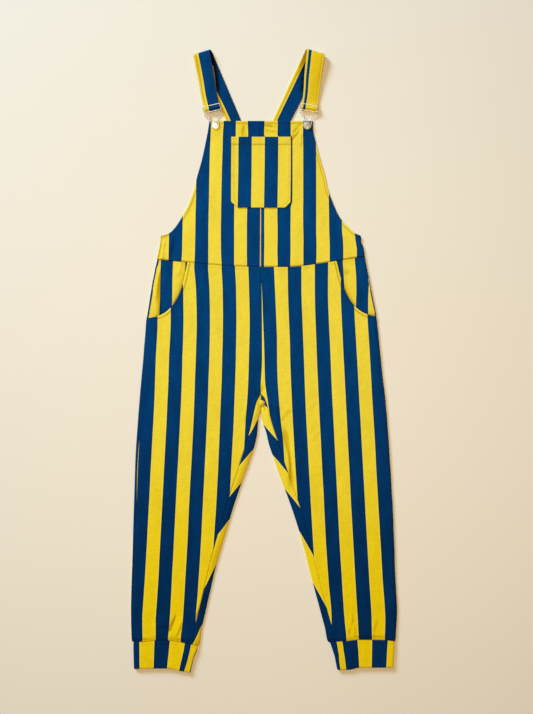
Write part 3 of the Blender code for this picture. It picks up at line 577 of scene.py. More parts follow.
WAIST_LINE = [(x, float(waist_y(x))) for x in np.arange(-256, 243, 8.0)]
BIB_TOP_LINE = [(x, BIB_TOP) for x in (-131, -60, -9.8, 60, 117.5)]
MOUTH_EDGE, MOUTH_LINE, SEAM_LINE, OUTSEAM_LINE, CUFF_LINE, ARMHOLE_LINE = ({} for _ in range(6))
for name, side in SIDE.items():
    MOUTH_EDGE[name] = [(row[0], x) for row, x in zip(LEG[name], MOUTH[name])]
    ys = np.arange(LEG_TOP, MOUTH_FOOT, -4.0)
    xs = through(MOUTH_EDGE[name], ys)
    MOUTH_LINE[name] = list(zip(xs, leg_y(ys, xs)))
    SEAM_LINE[name] = leg_line(name, 2, BIB_FOOT)
    OUTSEAM_LINE[name] = leg_line(name, 1, OUTSEAM_TOP, -side * OUTSEAM_STITCH)
    xs = np.arange(150, 322, 6.0) * side
    CUFF_LINE[name] = list(zip(xs, cuff_seam_y(xs)))
    ARMHOLE_LINE[name] = [(float(through(BIB, y, 1 if side < 0 else 2)), y)
                          for y in np.arange(300, BIB_TOP + 1, 5.0)]


def bib_z(x, y):
    """Middle of the front bib's cloth."""
    left, right, middle, edge = (through(BIB, y, c) for c in (1, 2, 4, 5))
    inside = np.minimum(x - left, right - x)
    z = mix(edge, middle, smooth(inside / BIB_DRAPE))
    z = z + relief(x, y) * smooth(inside / 14) * 0.8
    arm = np.minimum(*(distance_to(ARMHOLE_LINE[name], x, y) for name in SIDE))
    top, waist = distance_to(BIB_TOP_LINE, x, y), distance_to(WAIST_LINE, x, y)
    centre = np.abs(x - through(BIB, y, 3))
    z = z + hem_profile(arm, 8.5, ARM_STITCH) * 0.7 + hem_profile(top, 9.5, TOP_STITCH) * 0.7
    z = z + seam_profile(waist) + seam_profile(centre) * 0.4
    return z + pucker(x, y, waist, 6, 0.16) + pucker(x, y, arm, 6, 0.1) + pucker(x, y, centre, 4, 0.07)


def front_z(name, x, y):
    """Middle of a front leg's cloth, its rolled edge left out."""
    lines = (WAIST_LINE, *(line[name] for line in (SEAM_LINE, CUFF_LINE, OUTSEAM_LINE, MOUTH_LINE)))
    waist, seam, cuff, out, mouth = (distance_to(line, x, y) for line in lines)
    z = Z_FRONT + rise(x, y) + relief(x, y)
    z = z + seam_profile(waist) + seam_profile(seam) * 0.5 + seam_profile(cuff) * 1.1
    outside = np.abs(x) - np.abs(through(LEG[name], y, 1)) + 14
    z = z - 1.1 * smooth(outside / 13) ** 2 * smooth((110 - y) / 20)
    z = z + hem_profile(mouth, 8.5, MOUTH_STITCH) * 0.8
    z = z - 0.45 * bell(out, 1.1) + 0.3 * smooth((6 - out) / 4) * (np.abs(x) > 100)
    z = z + pucker(x, y, waist, 6, 0.14) + pucker(x, y, cuff, 12, 0.5) + pucker(x, y, seam, 4, 0.07)
    return z + pucker(x, y, mouth, 6, 0.1) + pucker(x, y, out, 4, 0.1)


def fold_painted_shade(x, y):
    """Painted shade in the troughs of the folds and on their side away from the window."""
    lee = creases(x - 1.9, y + 2.3) - creases(x + 1.9, y - 2.3)
    return np.clip(lee * 0.55 - creases(x, y) * 0.2 - waves(x, y) * 0.1, -0.08, 0.8)


def shade(x, y, name):
    """Painted shade in and beside the waist and cuff seams, along the cuff stitching, beside the inseam and
    in the folds: 0 clean, 1 dark.
    """
    lines = (WAIST_LINE, SEAM_LINE[name], CUFF_LINE[name])
    waist, inseam, foot = (distance_to(line, x, y) for line in lines)
    near = np.minimum(waist, foot)
    # painted shade beside the inseam, deeper on the left panel that the right one overlaps
    overlap_painted_shade = 0.45 if name == "left" else 0.1
    return (0.3 * bell(near, 1.5) + 0.1 * bell(near, 7) + overlap_painted_shade * bell(inseam, 1.4)
            + 0.9 * bell(foot - 7, 1.7) + fold_painted_shade(x, y))


# ---------------------------------------------------------------- meshes
def add_to_scene(name, data):
    ob = bpy.data.objects.new(name, data)
    bpy.context.scene.collection.objects.link(ob)
    return ob


def mesh_object(name, points, faces, mat, uvs=None):
    """Mesh object from millimetre points; uvs holds each face corner's (stripe, shade, across, along)."""
    mesh = bpy.data.meshes.new(name)
    mesh.from_pydata([tuple(p) for p in np.asarray(points) * MM], [], [tuple(f) for f in faces])
    if uvs is not None:
        for layer, columns in (("stripe", uvs[:, :2]), ("weave", uvs[:, 2:])):
            uv = mesh.uv_layers.new(name=layer)
            uv.data.foreach_set("uv", np.ascontiguousarray(columns, dtype=np.float32).ravel())
    mesh.polygons.foreach_set("use_smooth", [True] * len(mesh.polygons))
    mesh.materials.append(mat)
    mesh.update()
    return add_to_scene(name, mesh)


def thicken(ob, thickness, offset=0.0):
    solid = ob.modifiers.new("cloth", "SOLIDIFY")
    solid.thickness = thickness * MM
    solid.offset = offset
    solid.use_rim = True


def cloth(name, node, x, y, z, stripe, dark, thickness=CLOTH, turned=None, closed=False, missing=None):
    """Sheet of cloth from grids of points, made solid about its middle.

    stripe, dark: grids of stripe coordinate and shade.  turned: a column from which the cloth has
    other such grids, and these.  missing: grid of quads to leave out.
    """
    rows, columns = x.shape
    last = columns if closed else columns - 1
    bands = [(0, last, stripe, dark)]
    if turned:
        bands = [(0, turned[0], stripe, dark), (turned[0], last, *turned[1:])]
    points = np.stack((x, y, z), axis=-1).reshape(-1, 3)
    quads, uvs = [], []
    for first, end, number, tone in bands:
        r, c = np.meshgrid(np.arange(rows - 1), np.arange(first, end), indexing="ij")
        keep = np.ones(r.shape, bool) if missing is None else ~missing[:, first:end]
        r, c = r[keep], c[keep]
        d = (c + 1) % columns
        corners = ((r, c), (r, d), (r + 1, d), (r + 1, c))
        quads.append(np.stack([i * columns + j for i, j in corners], axis=-1))
        uvs.append(np.stack([
            np.stack((number[i, j], tone[i, j], number[i, j] * STRIPE * MM, y[i, j] * MM), axis=-1)
            for i, j in corners
        ], axis=1).reshape(-1, 4))
    used, quads = np.unique(np.concatenate(quads), return_inverse=True)
    ob = mesh_object(name, points[used], quads.reshape(-1, 4), CLOTH_MATERIAL, np.concatenate(uvs))
    thicken(ob, thickness)
    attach(ob, "root")
    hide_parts(node)


def spread(length, step, fine_start=True, fine_end=True, fine=1.5, reach=12.0):
    """Shares from 0 to 1 along a length, closer together near the ends that need it."""
    at = [0.0]
    while at[-1] < length:
        near = min(at[-1] if fine_start else 1e9, length - at[-1] if fine_end else 1e9)
        at.append(at[-1] + (fine if near < reach else min(step, fine + (near - reach) * 0.5)))
    at = np.array(at)
    return at / at[-1]


def flat_rows(start, end, step=4.0):
    return mix(start, end, spread(abs(start - end), step))


def roll_off(edge, inward, z_flat, z_end):
    """Columns that turn down (or up) from the flat to a seam."""
    t = ROLL_SHARES * math.pi / 2
    x = edge[:, None] + inward * EDGE_ROLL * (1 - np.sin(t))[None, :]
    z_flat, z_end = z_flat + 0.0 * edge, z_end + 0.0 * edge
    return x, between(z_flat, z_end, 1 - np.cos(t))


def repeated(values, x):
    """A column of values, one for each row of a grid, as a grid."""
    return np.repeat(values[:, None], x.shape[1], axis=1)


# ---------------------------------------------------------------- garment pieces
def bib_y(y0, x):
    """Rows of the bib follow the waist seam at its foot."""
    y = repeated(y0, x)
    return mix(y, y + (waist_y(x) + SEAM - BIB_FOOT), smooth((UNDERARM_Y - y) / (UNDERARM_Y - BIB_FOOT)))


def bib_front(name):
    side = SIDE[name]
    y0 = np.concatenate((flat_rows(BIB_FOOT, UNDERARM_Y + 1), flat_rows(UNDERARM_Y + 1, BIB_TOP, 2.7)[1:]))
    outer, middle = through(BIB, y0, 1 if side < 0 else 2), through(BIB, y0, 4)
    sewn = smooth((UNDERARM_Y + 2 - y0) / 4)
    limit = outer - side * SEWN_IN * sewn
    edge = limit - side * EDGE_ROLL
    share = spread(200, 2.7)
    n = share.size
    rolled_x, rolled_z = roll_off(limit, -side, middle, Z_SEAM_FRONT)
    flat = between(through(BIB, y0, 3) + side * SEAM / 2, edge, share)
    x = np.concatenate((flat, mix(between(edge, outer, ROLL_SHARES), rolled_x, sewn[:, None])), axis=1)
    y = bib_y(y0, x)
    z = bib_z(x, y)
    rolled_z = rolled_z + (z[:, n - 1] - middle)[:, None] * (1 - ROLL_SHARES)[None, :]
    z[:, n:] = mix(z[:, n:], rolled_z, sewn[:, None])
    stripe = stripe_at(BIB_STRIPES[name], FIRST["bib"][side > 0], x, y)
    if side > 0:
        stripe = np.where(x < 30, np.maximum(stripe, -0.95), stripe)
    groove = beside(SIDE_GROOVE[name], x, y, 0, 1.3)
    # Painted shade: dark lines along the top and armhole stitching and in the side groove, which also sinks
    # the cloth a little.
    dark = shade(x, y, name) + 0.55 * beside(BIB_TOP_LINE, x, y, TOP_STITCH, 1.2)
    dark = dark + 0.5 * beside(ARMHOLE_LINE[name], x, y, ARM_STITCH, 1.1)
    dark = dark + groove * (1.3 if side < 0 else 0.5)
    cloth("cloth_bib_" + name, "front_bib_" + name, x, y, z - 0.3 * groove, stripe, dark)


def bib_back():
    y0 = flat_rows(BIB_FOOT, BACK_BIB[-1][0], 6.0)
    sewn = smooth((UNDERARM_Y + 2 - y0) / 4)
    left = through(BACK_BIB, y0, 1) + SEWN_IN * sewn
    right = through(BACK_BIB, y0, 2) - SEWN_IN * sewn
    x = between(left + EDGE_ROLL, right - EDGE_ROLL, spread(400, 6.0, False, False))
    z = Z_BACK + hidden_creases(x, repeated(y0, x))
    seam_z = mix(Z_BACK, Z_SEAM_BACK - 0.2, sewn)
    start_x, start_z = roll_off(left, 1, Z_BACK, seam_z)
    end_x, end_z = roll_off(right, -1, Z_BACK, seam_z)
    x = np.concatenate((start_x[:, ::-1], x, end_x), axis=1)
    z = np.concatenate((start_z[:, ::-1], z, end_z), axis=1)
    # The hidden back bib is evenly darkened a little: painted shade.
    cloth("cloth_bib_back", "back_bib", x, bib_y(y0, x), z,
          (x - HIDDEN_STRIPE_X) / STRIPE, np.full(x.shape, 0.2))


def pocket_edges(x, y):
    """How far points lie in from the pocket's sides and foot, and from its top."""
    side = np.minimum(x - through(POCKET, y, 1), through(POCKET, y, 2) - x)
    return np.minimum(side, y - POCKET_FOOT), POCKET_TOP - y


def pocket_z(x, y):
    """Middle of the bib pocket's cloth."""
    rim, top = pocket_edges(x, y)
    z = bib_z(x, y) + CLOTH + 0.5
    z = z + hem_profile(rim, 8.0, POCKET_STITCH) * 0.5 + hem_profile(top, 18.0, 17.5) * 0.9
    return z + pucker(x, y, rim, 5, 0.1) + 0.35 * smooth((30 - top) / 30)


def pocket():
    y0 = flat_rows(POCKET_FOOT, POCKET_TOP, 3.5)
    x = between(through(POCKET, y0, 1), through(POCKET, y0, 2), spread(145, 3.5))
    y = repeated(y0, x)
    rim, top = pocket_edges(x, y)
    # Painted shade along the pocket's edges, under its hem stitching and in its folds.
    dark = 0.35 * bell(rim, 1.5) + 0.3 * bell(top - POCKET_HEM_STITCH, 1.0) + fold_painted_shade(x, y)
    cloth("cloth_pocket", "bib_pocket", x, y, pocket_z(x, y), stripe_at(POCKET_STRIPES, 1, x, y), dark)


def leg_rows(foot):
    """Heights of a leg's rows, closer together at its ends and at the foot of the pocket mouth."""
    ys = [float(LEG_TOP)]
    while ys[-1] > foot:
        near = min(LEG_TOP - ys[-1], ys[-1] - foot)
        at_mouth = abs(ys[-1] - MOUTH_FOOT) < 14
        ys.append(ys[-1] - (1.5 if near < 12 else 2.0 if at_mouth else 3.6))
    ys[-1] = foot
    return np.array(ys)


def side_strip(name, x, y):
    """Stripe coordinate of the narrow strip of back panel that shows at the side seam."""
    inside = x - through(LEG[name], y, 1)
    if name == "left":
        return np.clip((inside - through(SIDE_SLIVER, y)) / STRIPE, -0.9, 0.9)
    return 3.7 + inside / STRIPE


def leg_front(name):
    side, table = SIDE[name], LEG[name]
    y0 = leg_rows(table[-1][0])
    outer, seam = through(table, y0, 1), through(table, y0, 2)
    high = through(leg_heights(name), y0, 1)
    above_foot = y0 > table[len(MOUTH[name]) - 1][0]
    limit = np.where(above_foot, through(MOUTH_EDGE[name], y0), outer - side * SEWN_IN)
    share = spread(215, 2.5, reach=10)
    n = share.size
    z_end = mix(Z_SEAM_FRONT, high - 0.3, smooth((y0 - 98.5) / 5))
    rolled_x, rolled_z = roll_off(limit, -side, 0.0, z_end - Z_FRONT)
    flat = between(seam + side * SEAM / 2, limit - side * EDGE_ROLL, share)
    x = np.concatenate((flat, rolled_x), axis=1)
    y = leg_y(repeated(y0, x), x)
    z = front_z(name, x, y) + (high - Z_FRONT)[:, None]
    z[:, n:] = Z_FRONT + rolled_z + (z[:, n - 1] - Z_FRONT)[:, None] * (1 - ROLL_SHARES)[None, :] ** 0.5
    stripe = stripe_at(LEG_STRIPES[name], FIRST["leg"][side > 0], x, y)
    at_seam = np.abs(x) > np.abs(outer)[:, None] - (7.6 if side < 0 else 6.5)
    stripe_out = np.where(at_seam & (y < OUTSEAM_TOP), side_strip(name, x, y), stripe)
    # Painted shade along the seams, the fly, the side and mouth stitching and in the folds.
    dark = shade(x, y, name)
    if side > 0:
        dark = dark + 0.15 * beside(FLY_LINE, x, y, 0, 1.4)
    dark = dark + 0.5 * beside(OUTSEAM_LINE[name], x, y, 0, 1.3)
    dark = dark + 0.7 * beside(MOUTH_LINE[name], x, y, 5.4, 1.2)
    cloth("cloth_leg_front_" + name, "front_leg_" + name, x, y, z, stripe, dark,
          turned=(n - 4, stripe_out, dark))


def leg_back(name):
    """Bottom of the leg, rolled over its inner edge on to the front as far as the inseam."""
    side, table = SIDE[name], LEG[name]
    y0 = leg_rows(table[-1][0])
    top = int(np.argmin(np.abs(y0 - CROTCH_TIP_Y)))
    y0[top] = CROTCH_TIP_Y
    apex = int(np.argmin(np.abs(y0 - APEX_Y)))
    outer, seam, fold = (through(table, y0, c) for c in (1, 2, 3))
    high, back = (through(leg_heights(name), y0, c) for c in (1, 2))
    front = high - FLAP_DROP
    open_share = smooth((y0 - APEX_Y) / 21)
    edge = fold + side * mix(CLOTH / 2 + SEAM / 2, SEAM / 2, open_share)
    flat_end = edge + side * EDGE_ROLL

    # the bottom, from the side seam to the bend
    start_x, start_z = roll_off(outer - side * SEWN_IN, -side, back, Z_SEAM_BACK)
    bottom = np.linspace(0, 1, FLAT_COLUMNS)
    bottom_x = between(outer - side * (SEWN_IN + EDGE_ROLL), flat_end, bottom)
    off_edge = np.sin(math.pi * bottom)[None, :]
    bottom_z = back[:, None] + hidden_creases(bottom_x, y0[:, None]) * smooth(off_edge * 3)

    # the bend: round along the leg, open above the apex, where the bottom ends at the centre seam
    a = math.pi * (np.arange(1, 10) / 10 - 0.5)
    half = np.concatenate((np.linspace(0.25, 1, 4), np.linspace(1, 0.2, 5)))
    level = np.concatenate((np.zeros(4), np.ones(5)))
    bend_x, open_x = (flat_end[:, None] - side * EDGE_ROLL * out[None, :] for out in (np.cos(a), half))
    bend_z, open_z = (between(back, front, up) for up in (0.5 + 0.5 * np.sin(a), level))
    bend_x, bend_z = (mix(*ends, open_share[:, None]) for ends in ((bend_x, open_x), (bend_z, open_z)))

    # the part turned over on to the front
    flap_x = between(flat_end, seam - side * SEAM / 2, spread(25, 2.5, False, False))
    from_fold = np.abs(flap_x - edge[:, None])
    flap_z = high[:, None] - FLAP_DROP * (1 - smooth((from_fold - 2) / 11))
    x = np.concatenate((start_x[:, ::-1], bottom_x, bend_x, flap_x), axis=1)
    z = np.concatenate((start_z[:, ::-1], bottom_z, bend_z, flap_z), axis=1)
    y = leg_y(repeated(y0, x), x)
    columns = x.shape[1]
    first_bend = ROLL_STEPS + FLAT_COLUMNS
    first_flap = first_bend + 4

    # the tips of the two back panels end on a straight edge at the crotch
    centre = float(through(table, CROTCH_TIP_Y, 3)) + side * SEAM / 2
    seam_tip = float(through(table, CROTCH_TIP_Y, 2)) - side * SEAM / 2
    x[top, first_flap:] = np.linspace(centre, seam_tip, columns - first_flap)
    y[top, first_flap:] = CROTCH_TIP_Y
    missing = np.zeros((y0.size - 1, columns - 1), bool)
    missing[:top, first_flap - 1:] = True
    missing[:apex, first_flap - 1] = True

    seam_gap, cuff_gap = np.abs(x - seam[:, None]), distance_to(CUFF_LINE[name], x, y)
    lift = relief(x, y) * 0.8 + seam_profile(seam_gap) * 0.6 + seam_profile(cuff_gap) * 1.1
    lift = lift + pucker(x, y, seam_gap, 4, 0.07) + pucker(x, y, cuff_gap, 9, 0.3)
    weight = smooth((np.arange(columns) - first_flap + 1) / 8)

    inside = (seam[:, None] - x) * side
    along = y - through(FLAP[name], y, 2) * np.maximum(inside, -2)
    stripe_low = (x - float(through(table, HIDDEN_STRIPE_Y, 3))) / STRIPE
    dark = shade(x, y, name)
    # Painted shade on the left leg's rolled inner edge, the side turned away from the light.
    if side < 0:
        dark = dark + 0.35 * smooth(1 - np.abs(x - edge[:, None]) / 13) * (weight > 0)
    cloth("cloth_leg_back_" + name, "back_leg_" + name, x, y, z + lift * weight, stripe_low, dark * 0,
          turned=(first_bend, through(FLAP[name], along), dark), missing=missing)


def hip_facing(name):
    side = SIDE[name]
    steps = np.linspace(0, 1, len(FACING[name]))
    table = [(step, *row) for step, row in zip(steps, FACING[name])]
    down, across = spread(145, 3.0, fine_end=False), spread(95, 3.2)
    y_out, x_out, y_in, x_in = (through(table, down, c) for c in (1, 2, 3, 4))
    x, y = between(x_out, x_in, across), between(y_out, y_in, across)
    y = y + (waist_y(x) - SEAM - y[:1]) * (1 - down[:, None]) ** 2
    mouth = distance_to(MOUTH_LINE[name], x, y)
    inner = np.abs(x) < np.abs(through(MOUTH_EDGE[name], y)) + 1
    z = Z_FACING + relief(x, y) * 0.6 - 0.3 * smooth(1 - mouth / 14) * inner
    z = z + (seam_profile(distance_to(WAIST_LINE, x, y)) * 0.7 + dimple(x, y)) * (1 - inner)
    z = np.where(inner, np.minimum(z, Z_FACING), z)
    stripe = stripe_at(FACING_STRIPES[name], FIRST["facing"][side > 0], x, y)
    from_seam = np.abs(x - x_out[:, None])
    # Painted shade under the mouth's edge, along the side seam, in the dent and, on the left, in a band
    # beside the side seam fading upwards.
    dark = shade(x, y, name) + 0.8 * bell(mouth, 2.6) + 0.3 * bell(mouth, 9)
    dark = dark + 0.3 * bell(from_seam, 2.0) - dimple(x, y) * 0.3
    if side < 0:
        stripe = np.where(from_seam < 4.2, -0.4, np.maximum(stripe, 0.1))
        dark = dark + 0.6 * bell(x + 251, 5) * smooth((232 - y) / 60)
    else:
        stripe = np.where((from_seam < 2.6) & (y < 196), 5.4, stripe)
    cloth("cloth_facing_" + name, "hip_facing_" + name, x, y, z, stripe, dark)


def cuff(name):
    side = SIDE[name]
    down = spread(CUFF_LENGTH, 3.0, fine=1.3, reach=9)
    low, high = CUFF_CLOTH / 2, Z_FRONT + CUFF_RISE
    half = CUFF_CLOTH / 2 + EDGE_ROLL
    outer = (through(CUFF[name], down, 1) - side * half)[:, None]
    inner = (through(CUFF[name], down, 2) + side * half)[:, None]
    across = np.linspace(0, 1, FLAT_COLUMNS)[None, :]
    turn = (math.pi * np.arange(1, 9) / 9)[None, :]
    bulge, fall = side * EDGE_ROLL * np.sin(turn), 0.5 - 0.5 * np.cos(turn)
    x = np.concatenate((mix(outer, inner, across), inner - bulge,
                        mix(inner, outer, across), outer + bulge), axis=1)
    z = np.concatenate((np.full(across.shape, high), mix(high, low, fall),
                        np.full(across.shape, low), mix(low, high, fall)), axis=1)
    share = repeated(down, x)
    y = mix(cuff_seam_y(x) - SEAM, through(HEM[name], x), share)
    upper = np.zeros(x.shape[1])
    upper[:FLAT_COLUMNS] = 1
    upper[FLAT_COLUMNS:FLAT_COLUMNS + 3] = (0.8, 0.5, 0.2)
    upper[-3:] = (0.2, 0.5, 0.8)
    to_hem, to_seam = (1 - share) * CUFF_LENGTH, share * CUFF_LENGTH
    folds = 0.4 * np.sin(x / 5.3 + 1.6 * np.sin(y / 21)) * np.sin(x / 17 + 1) * np.exp(-to_seam / 30)
    lift = (folds + 0.3 * waves(x * 1.3, y * 1.3) + 0.35 * np.sin(share * math.pi)
            + seam_profile(to_seam) * 1.2 - 0.5 * bell(to_hem, 2.0) + pucker(x, y, to_seam, 12, 0.28))
    # Painted shade at the seam, at the hem and in the folds.
    dark = 0.8 * bell(to_seam, 1.8) + 0.25 * bell(to_hem, 1.6) + fold_painted_shade(x, y)
    cloth("cloth_cuff_" + name, "cuff_" + name, x, y, z + lift * upper,
          stripe_at(CUFF_STRIPES[name], 0, x, share), dark, CUFF_CLOTH, closed=True)


# ---------------------------------------------------------------- straps
def strap_frame(bar_middle, lean):
    """Middle of the hook's bar, and the directions across and up a strap that leans."""
    a = math.radians(lean)
    return Vector(bar_middle), Vector((math.cos(a), math.sin(a))), Vector((-math.sin(a), math.cos(a)))


def strap_rows(front_fold, back_fold, back_ends, bar_middle, lean, end_shift):
    """Edges of the ribbon from the back bib, over the top, through the slider, round the bar.

    The second array says which run each pair of points is in: 0 back, 1 front, 2 free end.
    """
    low = STRAP_CLOTH / 2
    crease, below = [Vector(p) for p in front_fold], [Vector(p) for p in back_fold]
    start = [Vector((x, STRAP_BACK_Y)) for x in back_ends]
    middle, across, up = strap_frame(bar_middle, lean)
    ends = (middle - across * STRAP_HALF, middle + across * STRAP_HALF)
    full = sum((crease[s] - ends[s]).length for s in (0, 1)) / 2

    def at(distance, z, shift=0.0):
        """Both edges at a distance up from the bar, square to it there and tapering above."""
        square = [ends[s] + up * distance for s in (0, 1)]
        tapered = [ends[s].lerp(crease[s], distance / full) for s in (0, 1)]
        share = float(smooth((distance - 20) / 60))
        places = [square[s].lerp(tapered[s], share) for s in (0, 1)]
        return [(place.x + shift, place.y, z) for place in places]

    back = [[(*start[s].lerp(below[s], t), low) for s in (0, 1)] for t in np.linspace(0, 1, 14)]
    normal = (crease[1] - crease[0]).orthogonal().normalized()
    if normal.y < 0:
        normal = -normal
    loop = []
    for a in math.pi * np.arange(1, 14) / 14:
        out, over = normal * LOOP_RADIUS * math.sin(a), (1 - math.cos(a)) / 2
        z = low + LOOP_RADIUS * (1 - math.cos(a))
        loop.append([(*(below[s].lerp(crease[s], over) + out), z) for s in (0, 1)])
    front = [[(*crease[s], low + 2 * LOOP_RADIUS) for s in (0, 1)]]
    for d in (*np.arange(119, 20, -4.0), 15, 12.2, 10.8, 9.2, 7.6, 6.2, 4.8, 3.3, 1.6, 0.2, -1.5):
        front.append(at(float(d), float(through(FRONT_RUN, d))))
    reach = HOOK_BAR_Z - low
    for a in math.radians(137) + math.pi * np.arange(1, 9) / 9 * 0.78:
        front.append(at(reach * math.cos(a), HOOK_BAR_Z + reach * math.sin(a)))
    end = []
    for d in (0, 2, 4, 7, 10, 14, *np.arange(18, 107, 4.0)):
        shift = end_shift * float(smooth(d / FREE_END[-1][0]))
        end.append(at(float(d), float(through(FREE_END, d)), shift))
    runs = (back + loop[:4], loop[4:] + front, end)
    return np.array(sum(runs, [])), np.repeat((0, 1, 2), [len(run) for run in runs])


def strap(name):
    """Strap through its slider and round its hook's bar; returns the lines of its stitching."""
    rows, kinds = strap_rows(*STRAPS[name][:5], FREE_END_SHIFT[name])
    share = np.array(STRAP_COLUMNS)
    x, y, z = (between(rows[:, 0, k], rows[:, 1, k], share) for k in range(3))
    back, front, end = ((kinds == k)[:, None] for k in range(3))
    inside = np.minimum(share, 1 - share) * 2 * STRAP_HALF
    groove = -0.22 * bell(inside - STRAP_STITCH, 0.9) + 0.12 * smooth((4.4 - inside) / 2)
    on_top, flat = front & (z > 4.5), back & (z < 1.2)
    z = z + np.where(on_top, groove, 0) + np.where(flat, groove * 0.5, 0)
    z = z + np.where(on_top, 0.15 * np.sin(y / 9 + x / 5) * np.sin(x / 11), 0)
    sag = through(STRAP_SAG, y) * smooth((share if name == "right" else 1 - share) / 0.7 - 0.43)
    z = z - np.where(front, sag, 0) - np.where(end, 0.75 * sag, 0)
    stripe = np.zeros(x.shape)
    width = 2 * STRAP_HALF / STRIPE
    for r, kind in enumerate(kinds):
        at, number = zip(*STRAP_STRIPES[name][kind])
        at = (at[0] - 1.0, *at, at[-1] + 1.0)
        number = (number[0] - width, *number, number[-1] + width)
        narrower = 0.065 * float(smooth((rows[r, :, 1].mean() - 600) / 60))
        stripe[r] = np.interp(share + (narrower if name == "left" and kind == 0 else 0), at, number)
    inner_edge = 1 if name == "left" else 0
    covered = distance_to([tuple(rows[kinds == 1][k, inner_edge, :2]) for k in (0, -14)], x, y)
    # Painted shade along the stitching, on the back run beside the front run's inner edge, and on the free
    # end lying in the front run's shadow.
    dark = (0.35 * bell(inside - STRAP_STITCH, 1.2)
            + back * (1.5 * bell(covered, 8) * smooth((y - 638) / 20) + 0.3 * bell(covered, 5))
            + end * (0.75 + 1.0 * smooth((690 - y) / 20)))
    cloth("cloth_strap_" + name, "strap_" + name, x, y, z, stripe, dark, STRAP_CLOTH)
    return [np.stack((x[run, c], y[run, c], z[run, c] + STRAP_CLOTH / 2), axis=-1)
            for run in (flat[:, 0], on_top[:, 0]) for c in (4, share.size - 5)]


# ---------------------------------------------------------------- crotch and stitching
def crotch_knob():
    """Bunched cloth where the four seams meet."""
    rings, spokes = 7, 24
    cx, cy, rx, ry, height = -5.8, -102.3, 7.4, 7.8, 3.0
    foot = Z_FRONT + CLOTH / 2
    t = (np.arange(1, rings + 1) / rings)[:, None]
    a = (2 * math.pi * np.arange(spokes) / spokes)[None, :]
    wobble = 1 + 0.06 * np.sin(3 * a + 1) + 0.04 * np.sin(5 * a)
    folds = 0.3 * np.sin(4 * a + 2) * t + 0.2 * np.sin(7 * a) * t
    z = foot + height * (1 - t * t) ** 0.8 + folds * (1 - t) - 0.5 * t ** 4
    x, y = cx + rx * t * wobble * np.cos(a), cy + ry * t * wobble * np.sin(a)
    points = [(cx, cy, foot + height), *np.stack((x, y, z), axis=-1).reshape(-1, 3)]
    faces = [(0, 1 + s, 1 + (s + 1) % spokes) for s in range(spokes)]
    for r in range(rings - 1):
        for s in range(spokes):
            a, b = 1 + r * spokes + s, 1 + r * spokes + (s + 1) % spokes
            faces.append((a, a + spokes, b + spokes, b))
    # stripe 0.5 is yellow; 0.15 is a light even painted shade
    uvs = np.array([(0.5, 0.15, points[v][0] * MM, points[v][1] * MM) for face in faces for v in face])
    ob = mesh_object("cloth_crotch_knob", points, faces, CLOTH_MATERIAL, uvs)
    thicken(ob, KNOB_CLOTH, -1.0)
    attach(ob, "root")


def lengths_along(line):
    return np.concatenate(([0], np.cumsum(np.linalg.norm(np.diff(line, axis=0), axis=1))))


def offset_line(line, distance):
    """A line moved to its left by a distance (to its right if negative)."""
    p = np.array(line, float)
    d = np.gradient(p, axis=0)
    d /= np.linalg.norm(d, axis=1)[:, None] + 1e-9
    return p + np.stack((-d[:, 1], d[:, 0]), axis=-1) * distance


def on_cloth(line, height):
    """A flat line laid on the top of a piece of cloth whose middle is height(x, y)."""
    p = np.array(line, float)
    length = lengths_along(p)
    at = np.arange(0, length[-1], 1.2)
    x, y = np.interp(at, length, p[:, 0]), np.interp(at, length, p[:, 1])
    return np.stack((x, y, height(x, y) + CLOTH / 2), axis=-1)


def ring_faces(first, rings, sides, closed=False):
    """Quads between rings of points that follow one another."""
    faces = []
    for r in range(rings if closed else rings - 1):
        a, b = first + r * sides, first + (r + 1) % rings * sides
        faces += [(a + i, a + (i + 1) % sides, b + (i + 1) % sides, b + i) for i in range(sides)]
    return faces


def end_faces(first, rings, sides):
    """Flat ends of a tube made of rings."""
    last = first + (rings - 1) * sides
    return [tuple(range(first, first + sides))[::-1], tuple(range(last, last + sides))]


def sew(name, lines):
    """Rows of lockstitches: short round threads that dip into the cloth at both ends."""
    along = np.array([0.0, 0.18, 0.5, 0.82, 1.0])
    radius = np.array([0.55, 1.0, 1.0, 1.0, 0.55]) * STITCH_RADIUS
    lift = np.array([-0.5, 0.35, 0.6, 0.35, -0.5]) * STITCH_RADIUS
    points, faces = [], []
    ring = 2 * math.pi * np.arange(THREAD_SIDES) / THREAD_SIDES
    for line in lines:
        length = lengths_along(line)
        count = max(int(length[-1] / STITCH_PITCH), 1)
        pitch = length[-1] / count
        for i in range(count):
            at = i * pitch + 0.5 * (pitch - STITCH_LENGTH) + along * STITCH_LENGTH
            middle = np.stack([np.interp(at, length, line[:, k]) for k in range(3)], axis=-1)
            run = middle[-1] - middle[0]
            run = run / (np.linalg.norm(run) + 1e-9)
            slant = 0.09 * math.sin(i * 1.7 + line[0, 0])
            across = np.array([-run[1], run[0], 0.0])
            across = across / (np.linalg.norm(across) + 1e-9)
            middle = middle + across * (slant * (along - 0.5) * 2)[:, None]
            middle[:, 2] += lift
            rings = (len(points), along.size, THREAD_SIDES)
            faces += ring_faces(*rings) + end_faces(*rings)
            thread = middle[:, None, :] + across * np.cos(ring)[:, None] * radius[:, None, None]
            thread[..., 2] += np.sin(ring) * radius[:, None] * 0.8
            points.extend(thread.reshape(-1, 3))
    ob = mesh_object(name, points, faces, THREAD_MATERIAL)
    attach(ob, "root")


